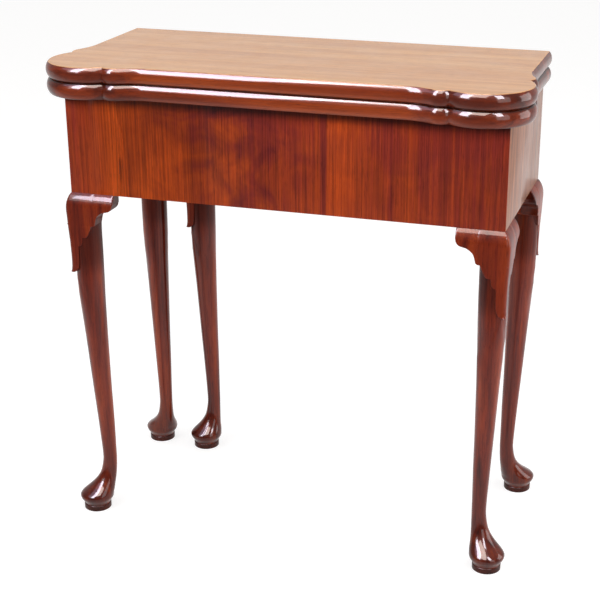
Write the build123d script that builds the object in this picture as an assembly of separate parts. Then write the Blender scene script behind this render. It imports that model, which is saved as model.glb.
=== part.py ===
from build123d import *
import os
from math import asin, cos, hypot, radians, sin, sqrt

os.makedirs("parts", exist_ok=True)

# Sizes of the whole table, in millimetres
case_width = 648.0
case_depth = 273.0
case_height = 149.5
leg_height = 528.5
leaf_thickness = 22.8
fold_gap = 0.4

# Plan of the two leaves: how they stand out over the case, and their eared corners
leaf_side_overhang = 6.0
leaf_front_overhang = 22.5
leaf_back_inset = 2.0
edge_swell = 4.5
ear_radius = 64.5
ear_inset = 45.0
lobe_radius = 20.0
lobe_inset = 96.0
lobe_rise = 12.0
hollow_radius = 87.0

# Case: rails of plain oak under sheets of saw-cut mahogany
veneer = 2.0
rail_thickness = 22.0
rail_lift = 1.5
tenon_length = 14.0
tenon_thickness = 8.0
tenon_shoulder = 16.0
tenon_fit = 0.1
seam_shares = [0.124, 0.622]

# Knee, bracket wings and turned leg
knee_block = 36.5
knee_proud = 9.0
knee_proud_low = 6.4
ledge_height = 20.0
knee_height = 48.0
lappet_height = 122.5
arris_round = 4.5
shoulder_radius = 21.0
shoulder_inset = 15.0
ankle_radius = 10.9
ankle_inset = 23.4
ankle_height = 84.0
pad_radius = 26.6
pad_inset = 5.5
pad_height = 24.0
ring_radius = 21.4
ring_height = 9.0
ring_groove = 0.6
wing_length = 31.5
wing_depth = 26.0

# Gate: rail and leg that swing on a wooden knuckle joint
gate_leg_space = 82.4
gate_pad_inset = 9.5
gate_ankle_inset = 21.3
gate_rail_thickness = 20.0
gate_rail_inset = 0.3
gate_hinge_x = 60.0
gate_top_gap = 0.5
gate_back_gap = 0.6
knuckle_count = 5
knuckle_gap = 0.4
knuckle_relief = 0.5
gate_pin_radius = 3.0
gate_pin_head_radius = 5.0
gate_pin_head_height = 2.5
gate_peg_radius = 4.0
gate_peg_spacing = 80.0

# Brass hinges of the leaves, let into the back edges
hinge_inset = 120.0
hinge_length = 60.0
hinge_plate = 2.0
hinge_plate_height = 17.5
hinge_offset = 0.2
barrel_radius = 3.5
barrel_relief = 0.3
barrel_gap = 0.3
barrel_count = 3
hinge_pin_radius = 1.5
pin_play = 0.05

# Screws, blocks and pegs
hinge_screw_radius = 1.6
hinge_screw_head = 3.1
hinge_screw_length = 15.0
hinge_screw_drop = 11.0
hinge_screw_count = 3
slot_width = 0.7
slot_depth = 0.6
rail_screw_radius = 2.2
rail_screw_head = 4.2
rail_screw_head_height = 2.4
rail_screw_length = 34.0
block_length = 60.0
block_side = 18.0
corner_block_side = 22.0
corner_block_height = 100.0
top_screw_radius = 2.0
top_screw_head = 3.8
top_screw_head_height = 2.2
top_screw_length = 30.0

# Cutters run past the faces that they cut by this much
overrun = 5.0

# Levels and places that follow from the sizes above
case_top = leg_height + case_height
joint_level = case_top + leaf_thickness + fold_gap / 2
table_top = case_top + 2 * leaf_thickness + fold_gap
half_width = case_width / 2
half_depth = case_depth / 2
leaf_half_width = half_width + leaf_side_overhang
leaf_front = half_depth + leaf_front_overhang
leaf_back = half_depth - leaf_back_inset
gate_corner_x = gate_leg_space - half_width
gate_corner_y = half_depth - gate_rail_inset - gate_rail_thickness
hinge_x = leaf_half_width - hinge_inset
ear_rise = ear_radius - ear_inset
front_reach = leaf_front + ear_rise + edge_swell
back_reach = half_depth - pad_inset + pad_radius
case_y = (front_reach - back_reach) / 2
hinge_y = leaf_back + hinge_offset
gate_axis_y = gate_corner_y + gate_rail_thickness / 2
gate_bottom = leg_height + rail_lift
gate_top = case_top - gate_top_gap
back_rail_face = gate_corner_y - gate_back_gap
inner_post_x = half_width - knee_block
inner_post_y = half_depth - knee_block
half_leaf = leaf_thickness / 2

# Foot between the ankle and the pad: shares of height, radius and inset
foot_shares = [
    (0.0, 1.0, 0.0),
    (0.10, 0.96, 0.04),
    (0.25, 0.55, 0.38),
    (0.43, 0.24, 0.70),
    (0.71, 0.05, 0.92),
    (1.0, 0.0, 1.0),
]

# Leg between the ankle and the shoulder: shares of height, radius and inset
shank_shares = [
    (0.0, 0.0, 0.0),
    (0.046, 0.02, 0.04),
    (0.169, 0.17, 0.18),
    (0.296, 0.31, 0.38),
    (0.552, 0.61, 0.73),
    (0.784, 0.97, 0.97),
    (0.889, 1.0, 1.0),
    (1.0, 1.0, 1.0),
]
foot_steps = 9
shank_steps = 12

# Quarter round of the ledge, as shares of its height
ledge_shares = [0.0, 0.04, 0.16, 0.36, 0.64, 1.0]

# Lower outline of a bracket wing: share of its length, share of the knee height
wing_tip_share = 0.28
wing_outline_shares = [
    (1.0, 0.30),
    (0.84, 0.49),
    (0.48, 0.54),
    (0.21, 0.66),
    (0.06, 0.97),
    (0.0, 0.98),
]

# Inner outline of the lappet: share of the knee block, share of the lappet height
lappet_shares = [
    (0.98, 0.37),
    (0.86, 0.39),
    (0.80, 0.47),
    (0.70, 0.535),
    (0.45, 0.545),
    (0.42, 0.61),
    (0.37, 0.665),
    (0.24, 0.675),
    (0.26, 0.78),
    (0.26, 0.88),
    (0.20, 0.95),
    (0.04, 1.0),
]


def block(x0, x1, y0, y1, z0, z1):
    """A box between two corners."""
    return Pos(x0, y0, z0) * Box(x1 - x0, y1 - y0, z1 - z0, align=(Align.MIN,) * 3)


def rod(radius, length, start, direction):
    """A round bar from a point, along a direction."""
    return Plane(origin=start, z_dir=direction) * Cylinder(
        radius, length, align=(Align.CENTER, Align.CENTER, Align.MIN)
    )


def cone(low_radius, high_radius, length, start, direction):
    """A countersunk head, from a point along a direction."""
    return Plane(origin=start, z_dir=direction) * Cone(
        low_radius, high_radius, length, align=(Align.CENTER, Align.CENTER, Align.MIN)
    )


def swell_at(height):
    """How far the leaf's edge stands out at a height from its mid plane."""
    arc = (half_leaf**2 + edge_swell**2) / (2 * edge_swell)
    return sqrt(arc**2 - height**2) - (arc - edge_swell)


def between(centre, radius, start, end):
    """The point of a circle midway between two of its points."""
    x = start[0] + end[0] - 2 * centre[0]
    y = start[1] + end[1] - 2 * centre[1]
    return (centre[0] + radius * x / hypot(x, y), centre[1] + radius * y / hypot(x, y))


def corner_points(grow):
    """Eared corner, as distances in from the corner and out from the straight edge."""
    ear = (ear_inset, -ear_inset)
    lobe = (lobe_inset, lobe_rise - lobe_radius)
    reach = lobe_radius + hollow_radius
    hollow = (lobe_inset + sqrt(reach**2 - (hollow_radius - lobe[1]) ** 2), hollow_radius)
    ear_r = ear_radius + grow
    lobe_r = lobe_radius + grow
    run = (lobe[0] - ear[0], lobe[1] - ear[1])
    apart = hypot(*run)
    along = (ear_r**2 - lobe_r**2 + apart**2) / (2 * apart)
    aside = sqrt(ear_r**2 - along**2)
    nick = (
        ear[0] + (along * run[0] - aside * run[1]) / apart,
        ear[1] + (along * run[1] + aside * run[0]) / apart,
    )
    turn = (
        lobe[0] + lobe_r * (hollow[0] - lobe[0]) / reach,
        lobe[1] + lobe_r * (hollow[1] - lobe[1]) / reach,
    )
    start = (hollow[0], grow)
    bend = between(hollow, hollow_radius - grow, turn, start)
    crest = between(lobe, lobe_r, nick, turn)
    diagonal = ear_r * sin(radians(45))
    tip = (ear[0] - diagonal, ear[1] + diagonal)
    return start, bend, turn, crest, nick, tip


def leaf_outline(level, grow):
    """The leaf's plan at one height, grown outward by the swell of its edge."""
    start, bend, turn, crest, nick, tip = corner_points(grow)

    def front(side, point):
        return (side * (leaf_half_width - point[0]), -leaf_front - point[1], level)

    def flank(side, point):
        return (side * (leaf_half_width + point[1]), -leaf_front + point[0], level)

    def corner(side):
        return [
            ThreePointArc(flank(side, start), flank(side, bend), flank(side, turn)),
            ThreePointArc(flank(side, turn), flank(side, crest), flank(side, nick)),
            ThreePointArc(flank(side, nick), front(side, tip), front(side, nick)),
            ThreePointArc(front(side, nick), front(side, crest), front(side, turn)),
            ThreePointArc(front(side, turn), front(side, bend), front(side, start)),
        ]

    edge = leaf_half_width + grow
    back_left = (-edge, leaf_back, level)
    back_right = (edge, leaf_back, level)
    lines = [Line(back_left, flank(-1, start))]
    lines += corner(-1)
    lines += [Line(front(-1, start), front(1, start))]
    lines += corner(1)
    lines += [Line(flank(1, start), back_right), Line(back_right, back_left)]
    return Wire(lines)


def leaf(bottom):
    """One leaf: flat faces, a swelled edge on three sides and a square back edge."""
    level_shares = [-1.0, -0.72, -0.36, 0.0, 0.36, 0.72, 1.0]
    wires = []
    for share in level_shares:
        height = share * half_leaf
        wires.append(leaf_outline(bottom + half_leaf + height, swell_at(height)))
    return Solid.make_loft(wires, True)


def barrel_span(centre_x, index):
    """Start and end along X of one barrel of a hinge, without its end gap."""
    pitch = hinge_length / barrel_count
    start = centre_x - hinge_length / 2 + index * pitch
    return start, start + pitch


def barrels(centre_x, upper, radius, grow):
    """The barrels of one plate of a hinge: the lower plate has the outer ones."""
    found = []
    for index in range(barrel_count):
        if (index % 2 == 1) == upper:
            start, end = barrel_span(centre_x, index)
            origin = (start - grow, hinge_y, joint_level)
            found.append(rod(radius, end - start + 2 * grow, origin, (1, 0, 0)))
    return found


def hinge_screw_x(centre_x, index):
    """Where one of the screws of a hinge plate stands along the hinge."""
    return centre_x + (index - (hinge_screw_count - 1) / 2) * hinge_length / hinge_screw_count


def hinge_screw(centre_x, index, side):
    """One countersunk hinge screw, driven in from the back edge of a leaf."""
    x = hinge_screw_x(centre_x, index)
    z = joint_level + side * hinge_screw_drop
    head = cone(hinge_screw_head, hinge_screw_radius, hinge_plate, (x, leaf_back, z), (0, -1, 0))
    shank = rod(hinge_screw_radius, hinge_screw_length, (x, leaf_back, z), (0, -1, 0))
    return head + shank


def screw_slot(centre_x, index, side):
    """The driver slot of a hinge screw."""
    x = hinge_screw_x(centre_x, index)
    z = joint_level + side * hinge_screw_drop
    half = slot_width / 2
    return block(
        x - hinge_screw_head, x + hinge_screw_head,
        leaf_back - slot_depth, leaf_back + overrun,
        z - half, z + half,
    )


def hinge_plate_solid(centre_x, side):
    """One brass plate with its barrels, side +1 for the upper leaf and -1 for the lower."""
    upper = side > 0
    low = joint_level + side * fold_gap / 2
    high = joint_level + side * hinge_plate_height
    half = hinge_length / 2
    plate = block(
        centre_x - half, centre_x + half, leaf_back - hinge_plate, leaf_back,
        min(low, high), max(low, high),
    )
    for other in barrels(centre_x, not upper, barrel_radius + barrel_relief, barrel_gap / 2):
        plate -= other
    for own in barrels(centre_x, upper, barrel_radius, -barrel_gap / 2):
        plate += own
    bore_start = (centre_x - half - overrun, hinge_y, joint_level)
    plate -= rod(hinge_pin_radius + pin_play, hinge_length + 2 * overrun, bore_start, (1, 0, 0))
    for index in range(hinge_screw_count):
        plate -= hinge_screw(centre_x, index, side)
    return plate


def hinge_recess(centre_x, side):
    """What is cut out of a leaf for one hinge: plate bed, barrel hollow and screw holes."""
    half = hinge_length / 2
    high = joint_level + side * hinge_plate_height
    bed = block(
        centre_x - half, centre_x + half, leaf_back - hinge_plate, leaf_back + overrun,
        min(joint_level, high), max(joint_level, high),
    )
    start = (centre_x - half - barrel_gap, hinge_y, joint_level)
    bed += rod(barrel_radius + barrel_relief, hinge_length + 2 * barrel_gap, start, (1, 0, 0))
    for index in range(hinge_screw_count):
        bed += hinge_screw(centre_x, index, side)
    return bed


def knee_out(depth_below):
    """How far the knee stands out of the case, at a depth under it."""
    if depth_below < ledge_height:
        rest = 1 - depth_below / ledge_height
        return knee_proud * sqrt(1 - rest**2)
    share = (depth_below - ledge_height) / (lappet_height - ledge_height)
    return knee_proud - (knee_proud - knee_proud_low) * share


def knee_wire(depth_below):
    """Section of the square knee with its rounded arris, at a depth under the case."""
    out = -knee_out(depth_below)
    softness = arris_round * min(1, (knee_out(depth_below) + veneer) / knee_proud)
    level = leg_height - depth_below
    inner = knee_block
    middle = out + softness * (1 - cos(radians(45)))
    return Wire([
        Line((inner, inner, level), (out, inner, level)),
        Line((out, inner, level), (out, out + softness, level)),
        ThreePointArc(
            (out, out + softness, level), (middle, middle, level), (out + softness, out, level)
        ),
        Line((out + softness, out, level), (inner, out, level)),
        Line((inner, out, level), (inner, inner, level)),
    ])


def face_outline(points):
    """A closed outline drawn on the front of a leg, in its own corner frame."""
    corners = [Vector(x, 0, z) for x, z in points]
    return Face(Wire.make_polygon(corners, close=True))


def lappet():
    """The raised apron of the knee that ends in a tongue on the arris."""
    section = Solid.make_loft([
        knee_wire(knee_height - ledge_height / 4),
        knee_wire((knee_height + lappet_height) / 2),
        knee_wire(lappet_height + overrun),
    ], True)
    top = leg_height - knee_height + ledge_height / 4
    far = -knee_proud - overrun
    points = [(far, top + overrun), (knee_block, top + overrun)]
    for across, down in lappet_shares:
        points.append((across * knee_block, leg_height - down * lappet_height))
    points.append((-knee_proud, leg_height - lappet_height + arris_round))
    points.append((far, leg_height - lappet_height + arris_round))
    curtain = face_outline(points)
    depth = shoulder_inset - far
    front = Pos(0, far, 0) * extrude(curtain, depth, dir=(0, 1, 0))
    return section & (front + turned_sideways(front))


def leg_circle(height, radius, inset):
    """One round section of the leg, set in along the diagonal of its corner."""
    return Wire.make_circle(radius, Plane(origin=(inset, inset, height), z_dir=(0, 0, 1)))


def smooth_share(rows, column, share):
    """Read a table of shares between its rows, without overshooting any of them."""
    steps = list(zip(rows, rows[1:]))
    slopes = [(b[column] - a[column]) / (b[0] - a[0]) for a, b in steps]
    bends = [slopes[0]]
    for before, after in zip(slopes, slopes[1:]):
        same_way = before * after > 0
        bends.append(2 * before * after / (before + after) if same_way else 0)
    bends.append(slopes[-1])
    place = max(index for index, row in enumerate(rows[:-1]) if row[0] <= share)
    low, high = steps[place]
    width = high[0] - low[0]
    t = (share - low[0]) / width
    rise = t * t * (3 - 2 * t)
    return (
        low[column] + rise * (high[column] - low[column])
        + width * t * (1 - t) * ((1 - t) * bends[place] - t * bends[place + 1])
    )


def round_sections(rows, count, heights, radii, insets):
    """Evenly spaced round sections along a part of the leg, the last one left out."""
    wires = []
    for index in range(count):
        share = index / count
        radius_share = smooth_share(rows, 1, share)
        inset_share = smooth_share(rows, 2, share)
        wires.append(leg_circle(
            heights[0] + share * (heights[1] - heights[0]),
            radii[0] + radius_share * (radii[1] - radii[0]),
            insets[0] + inset_share * (insets[1] - insets[0]),
        ))
    return wires


def turned_leg(foot_inset, thin_inset):
    """Pad foot, ankle and tapering shank, as one run of round sections."""
    shoulder_height = leg_height - knee_height + ledge_height / 4
    wires = [
        leg_circle(ring_height, ring_radius - ring_groove, foot_inset),
        leg_circle((ring_height + pad_height) / 2, (ring_radius + pad_radius) / 2, foot_inset),
    ]
    wires += round_sections(
        foot_shares, foot_steps,
        (pad_height, ankle_height), (ankle_radius, pad_radius), (foot_inset, thin_inset),
    )
    wires += round_sections(
        shank_shares, shank_steps,
        (ankle_height, shoulder_height), (ankle_radius, shoulder_radius),
        (thin_inset, shoulder_inset),
    )
    wires.append(leg_circle(shoulder_height, shoulder_radius, shoulder_inset))
    shaft = Solid.make_loft(wires, False)
    ring = rod(ring_radius, ring_height, (foot_inset, foot_inset, 0), (0, 0, 1))
    return shaft + ring


def leg(face_x, face_y, foot_inset=pad_inset, thin_inset=ankle_inset):
    """A whole leg in its corner frame: post, knee, lappet, shank and foot.

    X and Y run inward from the two outer planes of the case, and the post starts
    face_x and face_y behind them. The middles of the pad and of the ankle lie
    foot_inset and thin_inset behind both planes.
    """
    depths = [share * ledge_height for share in ledge_shares] + [knee_height]
    knee = Solid.make_loft([knee_wire(depth) for depth in depths], True)
    post = block(face_x, knee_block, face_y, knee_block, leg_height - overrun, case_top)
    return knee + post + lappet() + turned_leg(foot_inset, thin_inset)


def wing():
    """A bracket wing beside a knee, running along X from the knee's inner face."""
    points = [
        (knee_block, leg_height),
        (knee_block + wing_length, leg_height),
        (knee_block + wing_length, leg_height - wing_tip_share * knee_height),
    ]
    for across, down in wing_outline_shares:
        points.append((knee_block + across * wing_length, leg_height - down * knee_height))
    front = Pos(0, -knee_proud, 0) * extrude(face_outline(points), wing_depth, dir=(0, 1, 0))
    inner = wing_depth - knee_proud
    depths = [share * ledge_height for share in ledge_shares] + [knee_height]
    profile = [Vector(0, inner, leg_height)]
    profile += [Vector(0, -knee_out(depth), leg_height - depth) for depth in depths]
    profile += [Vector(0, inner, leg_height - knee_height)]
    section = Face(Wire.make_polygon(profile, close=True))
    return front & extrude(section, knee_block + wing_length, dir=(1, 0, 0))


def to_corner(solid, side_x, side_y):
    """Set a piece made in a corner frame into one corner of the case."""
    if side_x > 0:
        solid = mirror(solid, Plane.YZ)
    if side_y > 0:
        solid = mirror(solid, Plane.XZ)
    return Pos(side_x * half_width, side_y * half_depth, 0) * solid


def turned_sideways(solid):
    """Swap the two level axes of a corner frame, for the wing on the side of a leg."""
    return mirror(solid, Plane(origin=(0, 0, 0), x_dir=(0, 0, 1), z_dir=(1, -1, 0)))


def tenon(x0, x1, y0, y1, fit):
    """A rail's tenon, or its mortise when it is made larger by the fit."""
    return block(
        x0 - fit, x1 + fit, y0 - fit, y1 + fit,
        leg_height + tenon_shoulder - fit, case_top - tenon_shoulder + fit,
    )


def side_tenons(side, fit):
    """The two tenons of a side rail, into the front and the rear leg."""
    middle = half_width - veneer - rail_thickness / 2
    half = tenon_thickness / 2
    low, high = sorted((side * (middle - half), side * (middle + half)))
    return [
        tenon(low, high, -inner_post_y - tenon_length, -inner_post_y, fit),
        tenon(low, high, inner_post_y, inner_post_y + tenon_length, fit),
    ]


def long_tenons(middle_y, fit):
    """The two tenons of a front or back rail, into the left and the right leg."""
    half = tenon_thickness / 2
    return [
        tenon(-inner_post_x - tenon_length, -inner_post_x, middle_y - half, middle_y + half, fit),
        tenon(inner_post_x, inner_post_x + tenon_length, middle_y - half, middle_y + half, fit),
    ]


front_rail_y = -half_depth + veneer + rail_thickness / 2
back_rail_y = back_rail_face - rail_thickness / 2


def front_rail():
    half = rail_thickness / 2
    rail = block(
        -inner_post_x, inner_post_x, front_rail_y - half, front_rail_y + half,
        leg_height, case_top,
    )
    for part in long_tenons(front_rail_y, 0):
        rail += part
    return rail


def side_rail(side):
    outer = half_width - veneer
    low, high = sorted((side * (outer - rail_thickness), side * outer))
    rail = block(low, high, -inner_post_y, inner_post_y, leg_height, case_top)
    for part in side_tenons(side, 0):
        rail += part
    return rail


def inner_back_rail():
    rail = block(
        -inner_post_x, inner_post_x, back_rail_face - rail_thickness, back_rail_face,
        gate_bottom, case_top,
    )
    for part in long_tenons(back_rail_y, 0):
        rail += part
    return rail


def knuckle_span(index):
    """Bottom and top of one knuckle of the gate's hinge."""
    pitch = (gate_top - gate_bottom) / knuckle_count
    return gate_bottom + index * pitch, gate_bottom + (index + 1) * pitch


def knuckled(rail, side, own):
    """Shape the end of a rail into knuckles round the gate's pin.

    side is the direction from the pin to the rail, and own says which of the
    knuckles, counted from the bottom, belong to this rail.
    """
    radius = gate_rail_thickness / 2
    reach = radius + knuckle_relief
    for index in range(knuckle_count):
        low, high = knuckle_span(index)
        if index in own:
            centre = (gate_hinge_x, gate_axis_y, low + knuckle_gap / 2)
            height = high - low - knuckle_gap
            neck_end = gate_hinge_x + side * reach
            x0, x1 = sorted((gate_hinge_x, neck_end))
            rail += rod(radius, height, centre, (0, 0, 1))
            rail += block(
                x0, x1, gate_axis_y - radius, gate_axis_y + radius,
                low + knuckle_gap / 2, high - knuckle_gap / 2,
            )
    pin_start = (gate_hinge_x, gate_axis_y, gate_bottom - overrun)
    length = gate_top - gate_bottom + 2 * overrun
    return rail - rod(gate_pin_radius + pin_play, length, pin_start, (0, 0, 1))


def gate_peg_places():
    """Where the two pegs of the gate leg's tenon stand, as X and Z."""
    x = gate_corner_x + knee_block - tenon_length / 2
    middle = (gate_bottom + gate_top) / 2
    return [(x, middle - gate_peg_spacing / 2), (x, middle + gate_peg_spacing / 2)]


def gate_peg(place, radius):
    """A peg through the gate leg's post, from its back face into the tenon."""
    x, z = place
    depth = knee_block - (gate_rail_thickness - tenon_thickness) / 2 + tenon_fit
    return rod(radius, depth, (x, gate_corner_y + knee_block, z), (0, -1, 0))


def gate_tenon(fit):
    """The tenon of the gate rail, in the post of the gate leg."""
    half = tenon_thickness / 2
    end = gate_corner_x + knee_block
    return tenon(end - tenon_length, end, gate_axis_y - half, gate_axis_y + half, fit)


def gate_rail():
    radius = gate_rail_thickness / 2
    rail = block(
        gate_corner_x + knee_block, gate_hinge_x - radius - knuckle_relief,
        gate_axis_y - radius, gate_axis_y + radius, gate_bottom, gate_top,
    )
    rail = knuckled(rail, -1, range(1, knuckle_count, 2)) + gate_tenon(0)
    for place in gate_peg_places():
        rail -= gate_peg(place, gate_peg_radius)
    return rail


def gate_leg():
    solid = leg(0, 0, gate_pad_inset, gate_ankle_inset)
    solid -= block(
        -overrun, knee_block + overrun, -overrun, knee_block + overrun,
        gate_top, case_top + overrun,
    )
    solid = Pos(gate_corner_x, gate_corner_y, 0) * solid - gate_tenon(tenon_fit)
    for place in gate_peg_places():
        solid -= gate_peg(place, gate_peg_radius)
    return solid


def rail_screw_places():
    """Screws that hold the outer back rail to the inner one, as X and Z."""
    start = gate_hinge_x + block_length
    end = inner_post_x - block_length / 2
    middle = (gate_bottom + gate_top) / 2
    rise = case_height / 4
    return [(x, z) for x in (start, end) for z in (middle - rise, middle + rise)]


def rail_screw(place):
    x, z = place
    start = (x, gate_axis_y + gate_rail_thickness / 2, z)
    head = cone(rail_screw_head, rail_screw_radius, rail_screw_head_height, start, (0, -1, 0))
    return head + rod(rail_screw_radius, rail_screw_length, start, (0, -1, 0))


def outer_back_rail():
    radius = gate_rail_thickness / 2
    rail = block(
        gate_hinge_x + radius + knuckle_relief, inner_post_x,
        back_rail_face, gate_axis_y + radius, gate_bottom, case_top,
    )
    rail = knuckled(rail, 1, range(0, knuckle_count, 2))
    for place in rail_screw_places():
        rail -= rail_screw(place)
    return rail


def gate_pin():
    origin = (gate_hinge_x, gate_axis_y, gate_bottom)
    pin = rod(gate_pin_radius, gate_top - gate_bottom, origin, (0, 0, 1))
    return pin + rod(gate_pin_head_radius, gate_pin_head_height, origin, (0, 0, -1))


def block_places():
    """Middle and direction of each glue block under the lower leaf."""
    reach = half_width - inner_post_x + 2 * block_length
    inner_front = front_rail_y + rail_thickness / 2
    inner_back = back_rail_face - rail_thickness
    inner_side = half_width - veneer - rail_thickness
    half = block_side / 2
    places = []
    for x in (reach - half_width, 0, half_width - reach):
        places.append((x, inner_front + half, True))
        places.append((x, inner_back - half, True))
    places.append((-inner_side + half, 0, False))
    places.append((inner_side - half, 0, False))
    return places


def top_block(place):
    x, y, lengthwise = place
    long_half = block_length / 2
    half = block_side / 2
    half_x, half_y = (long_half, half) if lengthwise else (half, long_half)
    return block(x - half_x, x + half_x, y - half_y, y + half_y, case_top - block_side, case_top)


def top_screw(place):
    x, y = place[:2]
    start = (x, y, case_top - block_side)
    head = cone(top_screw_head, top_screw_radius, top_screw_head_height, start, (0, 0, 1))
    return head + rod(top_screw_radius, top_screw_length, start, (0, 0, 1))


def corner_block(side_x, side_y):
    """A glue block in an inside corner of the case."""
    middle = leg_height + case_height / 2
    low = middle - corner_block_height / 2
    high = middle + corner_block_height / 2
    if side_y < 0:
        outer_x = inner_post_x
        y0 = front_rail_y + rail_thickness / 2
        y1 = y0 + corner_block_side
    else:
        outer_x = half_width - veneer - rail_thickness
        y1 = back_rail_face - rail_thickness
        y0 = y1 - corner_block_side
    x0, x1 = sorted((side_x * (outer_x - corner_block_side), side_x * outer_x))
    return block(x0, x1, y0, y1, low, high)


def front_veneer():
    """Sheets of veneer side by side on the front rail and the front legs."""
    edges = [-half_width]
    edges += [-half_width + share * case_width for share in seam_shares]
    edges += [half_width]
    return [
        block(start, end, -half_depth, -half_depth + veneer, leg_height, case_top)
        for start, end in zip(edges, edges[1:])
    ]


def side_veneer(side):
    x0, x1 = sorted((side * (half_width - veneer), side * half_width))
    return block(x0, x1, -half_depth + veneer, half_depth, leg_height, case_top)


# The case
pieces = {}
pieces["front_rail"] = front_rail()
pieces["left_rail"] = side_rail(-1)
pieces["right_rail"] = side_rail(1)
pieces["inner_back_rail"] = inner_back_rail()
pieces["outer_back_rail"] = outer_back_rail()
pieces["front_veneer"] = front_veneer()
pieces["left_veneer"] = side_veneer(-1)
pieces["right_veneer"] = side_veneer(1)

# Corner legs, each with the mortises of the rails that meet it
corners = {
    "front_left": (-1, -1),
    "front_right": (1, -1),
    "rear_left": (-1, 1),
    "rear_right": (1, 1),
}
mortises = side_tenons(-1, tenon_fit) + side_tenons(1, tenon_fit)
mortises += long_tenons(front_rail_y, tenon_fit) + long_tenons(back_rail_y, tenon_fit)
for corner_name, (side_x, side_y) in corners.items():
    corner_leg = to_corner(leg(veneer, veneer if side_y < 0 else 0), side_x, side_y)
    for mortise in mortises:
        corner_leg -= mortise
    pieces[corner_name + "_leg"] = corner_leg
    pieces[corner_name + "_side_bracket"] = to_corner(turned_sideways(wing()), side_x, side_y)
    if side_y < 0:
        pieces[corner_name + "_front_bracket"] = to_corner(wing(), side_x, side_y)

# The gate
pieces["gate_leg"] = gate_leg()
pieces["gate_rail"] = gate_rail()
pieces["gate_pin"] = gate_pin()
pieces["gate_pegs"] = [gate_peg(place, gate_peg_radius) for place in gate_peg_places()]

# The leaves and their hinges
upper_leaf = leaf(joint_level + fold_gap / 2)
lower_leaf = leaf(case_top)
hinge_screws = {1: [], -1: []}
hinge_places = {"left_hinge": -hinge_x, "right_hinge": hinge_x}
for hinge_name, centre_x in hinge_places.items():
    upper_leaf -= hinge_recess(centre_x, 1)
    lower_leaf -= hinge_recess(centre_x, -1)
    pieces[hinge_name + "_upper_plate"] = hinge_plate_solid(centre_x, 1)
    pieces[hinge_name + "_lower_plate"] = hinge_plate_solid(centre_x, -1)
    pin_origin = (centre_x - hinge_length / 2, hinge_y, joint_level)
    pieces[hinge_name + "_pin"] = rod(hinge_pin_radius, hinge_length, pin_origin, (1, 0, 0))
    for side in (1, -1):
        for index in range(hinge_screw_count):
            screw = hinge_screw(centre_x, index, side) - screw_slot(centre_x, index, side)
            hinge_screws[side].append(screw)
pieces["upper_hinge_screws"] = hinge_screws[1]
pieces["lower_hinge_screws"] = hinge_screws[-1]

# Blocks and screws that hold the lower leaf and the back rails
top_screws = [top_screw(place) for place in block_places()]
top_blocks = []
for place, screw in zip(block_places(), top_screws):
    top_blocks.append(top_block(place) - screw)
    lower_leaf -= screw
pieces["top_blocks"] = top_blocks
pieces["top_screws"] = top_screws
pieces["corner_blocks"] = [corner_block(*corner) for corner in corners.values()]
back_screws = [rail_screw(place) for place in rail_screw_places()]
for screw in back_screws:
    pieces["inner_back_rail"] -= screw
pieces["back_rail_screws"] = back_screws
pieces["upper_leaf"] = upper_leaf
pieces["lower_leaf"] = lower_leaf

# Everything is set so that the origin lies on the floor under the middle of the table
for piece_name, piece in pieces.items():
    solids = piece if isinstance(piece, list) else [piece]
    found = []
    for item in solids:
        found += item.solids()
    placed = Compound(children=[Pos(0, case_y, 0) * solid for solid in found])
    placed.label = piece_name
    export_step(placed, f"parts/{piece_name}.step")
print(len(pieces), "pieces, top at", round(table_top, 2), "mm, case middle at y", round(case_y, 3))
print("leaf axis y", round(case_y + hinge_y, 3), "z", round(joint_level, 3))
print("gate axis x", gate_hinge_x, "y", round(case_y + gate_axis_y, 3))
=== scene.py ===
# %% [markdown]
# A fold-over tea table in polished mahogany
#
# Two leaves with eared corners lie on each other and hinge at the back. Under them is a
# square case, veneered with upright grain, on four slender legs with carved knees and pad
# feet. A fifth leg on a swinging rail comes out to hold the upper leaf when it is opened.
# The solid model gives every piece its place. Here each visible piece gets the softened
# edges, the grain and the polish that a real one has.

# %% Load the model as a fixed frame
from math import atan2, cos, hypot, pi, radians, sin, sqrt

import bmesh
import bpy
import numpy as np
from mathutils import Matrix, Vector


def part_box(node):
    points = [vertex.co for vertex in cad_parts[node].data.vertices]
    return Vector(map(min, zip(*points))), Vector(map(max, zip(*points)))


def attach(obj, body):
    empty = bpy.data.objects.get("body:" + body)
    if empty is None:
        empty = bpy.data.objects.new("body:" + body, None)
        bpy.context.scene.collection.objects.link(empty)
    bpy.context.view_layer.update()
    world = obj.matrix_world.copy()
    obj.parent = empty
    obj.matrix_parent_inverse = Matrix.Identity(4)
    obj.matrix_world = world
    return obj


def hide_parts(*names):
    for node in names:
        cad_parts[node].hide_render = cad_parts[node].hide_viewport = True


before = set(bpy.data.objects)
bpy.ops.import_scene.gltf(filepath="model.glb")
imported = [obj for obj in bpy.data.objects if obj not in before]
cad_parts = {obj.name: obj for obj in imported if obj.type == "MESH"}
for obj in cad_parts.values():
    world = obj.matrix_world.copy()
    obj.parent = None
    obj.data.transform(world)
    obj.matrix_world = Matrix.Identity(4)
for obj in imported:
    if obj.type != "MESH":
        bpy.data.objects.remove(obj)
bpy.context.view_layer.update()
MM = 0.001
# The middle of the case lies this many millimetres behind the middle of the whole table.
CASE_Y = 12.7
print("nodes", len(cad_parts))

# %% [markdown]
# A screen colour is not a light level, so one function turns every hex colour into linear
# values. One more adds a node with its settings and links, because a material is easiest to
# read as a list of nodes in the order that the light meets them. Two settings come back so
# often that they have a name: layers of colour multiply, and a change is eased at its ends.

# %% Colour, node and object helpers
MULTIPLY = {"data_type": "RGBA", "blend_type": "MULTIPLY"}
EASED_ENDS = {"interpolation_type": "SMOOTHSTEP"}


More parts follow.
